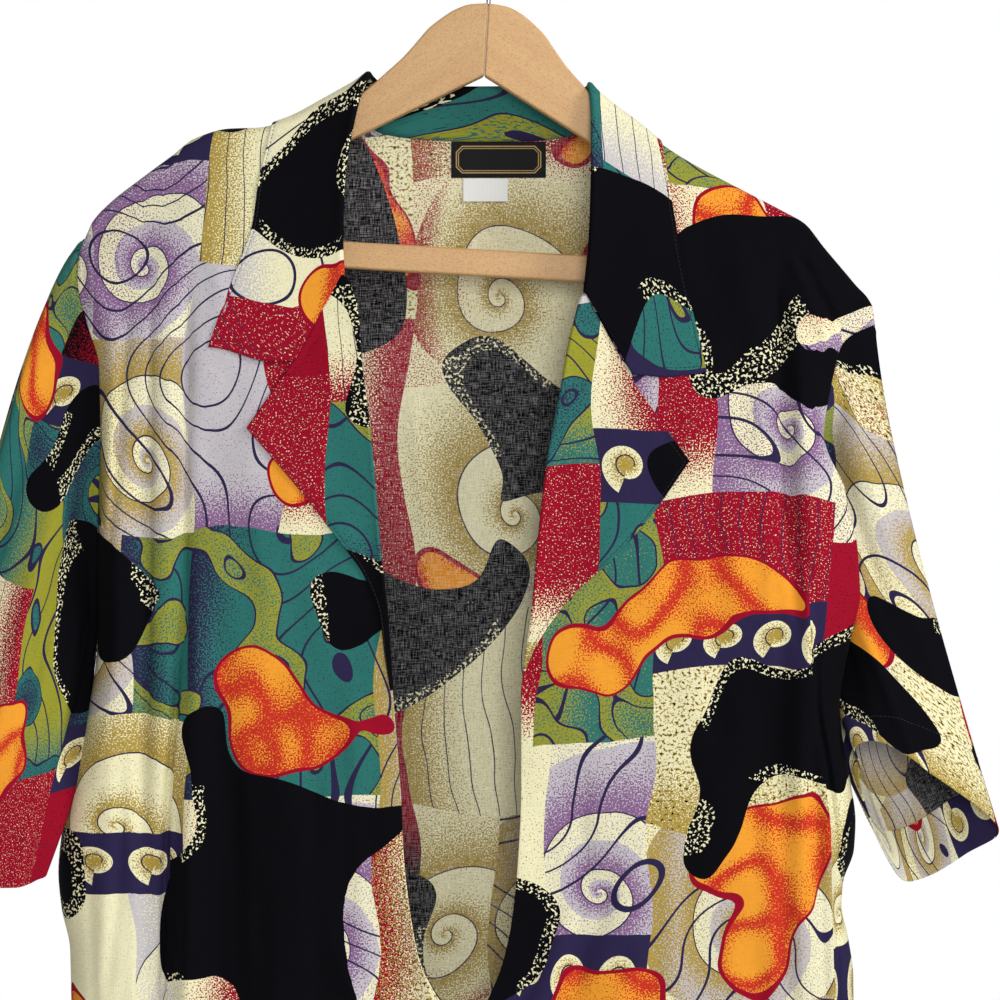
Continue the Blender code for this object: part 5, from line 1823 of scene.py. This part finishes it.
class SHIRT_OT_stage(bpy.types.Operator):
    """Stage: a pale floor, soft light and the camera straight in front"""

    bl_idname = "shirt.make_stage"
    bl_label = "Make stage"

    def execute(self, context):
        settings = context.scene.shirt_stage
        self.floor(settings)
        self.surroundings(settings)
        for name, (place, size, share) in LIGHTS.items():
            self.light(name, place, size, settings.key_power * share)
        camera = bpy.data.cameras.new("camera")
        camera.sensor_width = SENSOR_WIDTH
        camera.lens = SENSOR_WIDTH * settings.camera_distance / PHOTO_WIDTH
        seen_from = bpy.data.objects.new("camera", camera)
        seen_from.location = (PHOTO_MIDDLE[0], -settings.camera_distance, PHOTO_MIDDLE[1])
        seen_from.rotation_euler = (math.pi / 2, 0, 0)
        context.scene.collection.objects.link(seen_from)
        context.scene.camera = seen_from
        context.scene.view_settings.view_transform = "Standard"
        return {"FINISHED"}

    def floor(self, settings):
        """A round pale floor."""
        turn = np.linspace(0, 2 * math.pi, 97)[:-1]
        x, y = FLOOR_RADIUS * np.cos(turn), FLOOR_RADIUS * np.sin(turn)
        rim = np.stack([x, y, turn * 0 - settings.floor_drop], -1)
        mesh = bpy.data.meshes.new("floor")
        mesh.from_pydata(rim, [], [range(len(rim))])
        made, _ = new_material("floor")
        mesh.materials.append(finish(made, {"Base Color": (0.86, 0.86, 0.86, 1.0), "Roughness": 0.9}))
        floor = bpy.data.objects.new("floor", mesh)
        bpy.context.scene.collection.objects.link(floor)

    def surroundings(self, settings):
        """Even pale light from all sides, as bright as the backdrop where the camera looks at it."""
        world = bpy.data.worlds.new("surroundings")
        world.use_nodes = True
        shader = world.node_tree.nodes["Background"]
        shader.inputs["Color"].default_value = (*settings.backdrop, 1.0)
        rays = add_node(world.node_tree, "ShaderNodeLightPath", {}, "Is Camera Ray")
        strength = rays * (1.0 - settings.ambient) + settings.ambient
        world.node_tree.links.new(strength.socket, shader.inputs["Strength"])
        bpy.context.scene.world = world

    def light(self, name, place, size, power):
        """A square soft light that points at the shirt."""
        data = bpy.data.lights.new(name, "AREA")
        data.shape = "SQUARE"
        data.size = size
        data.energy = power
        lamp = bpy.data.objects.new(name, data)
        lamp.location = place
        aim = Vector(LIGHT_AIM) - lamp.location
        lamp.rotation_euler = aim.to_track_quat("-Z", "Y").to_euler()
        bpy.context.scene.collection.objects.link(lamp)


# ---------------------------------------------------------------- add-on


class SHIRT_PT_panel(bpy.types.Panel):
    """Lists the pieces of the shirt, and the settings that they are made from"""

    bl_idname = "SHIRT_PT_panel"
    bl_label = "Shirt on a Hanger"
    bl_space_type = "VIEW_3D"
    bl_region_type = "UI"
    bl_category = "Shirt"

    def draw(self, context):
        layout = self.layout
        for operator in OPERATORS:
            layout.operator(operator.bl_idname)
        for name, group in SETTINGS.items():
            box = layout.box()
            for key in group.__annotations__:
                box.prop(getattr(context.scene, name), key)


OPERATORS = (
    SHIRT_OT_back, SHIRT_OT_fronts, SHIRT_OT_lapels, SHIRT_OT_collar, SHIRT_OT_sleeves, SHIRT_OT_labels,
    SHIRT_OT_button, SHIRT_OT_stitching, SHIRT_OT_hanger, SHIRT_OT_hook, SHIRT_OT_stage,
)
SETTINGS = {
    "shirt_cloth": ClothSettings, "shirt_print": PrintSettings, "shirt_hanger": HangerSettings,
    "shirt_stage": StageSettings,
}


def register():
    for group in SETTINGS.values():
        bpy.utils.register_class(group)
    for name, group in SETTINGS.items():
        setattr(bpy.types.Scene, name, bpy.props.PointerProperty(type=group))
    for operator in OPERATORS:
        bpy.utils.register_class(operator)
    bpy.utils.register_class(SHIRT_PT_panel)


def unregister():
    bpy.utils.unregister_class(SHIRT_PT_panel)
    for operator in reversed(OPERATORS):
        bpy.utils.unregister_class(operator)
    for name, group in SETTINGS.items():
        delattr(bpy.types.Scene, name)
        bpy.utils.unregister_class(group)


def main():
    """Makes every piece in turn."""
    register()
    for operator in OPERATORS:
        group, name = operator.bl_idname.split(".")
        getattr(getattr(bpy.ops, group), name)()


if __name__ == "__main__":
    main()
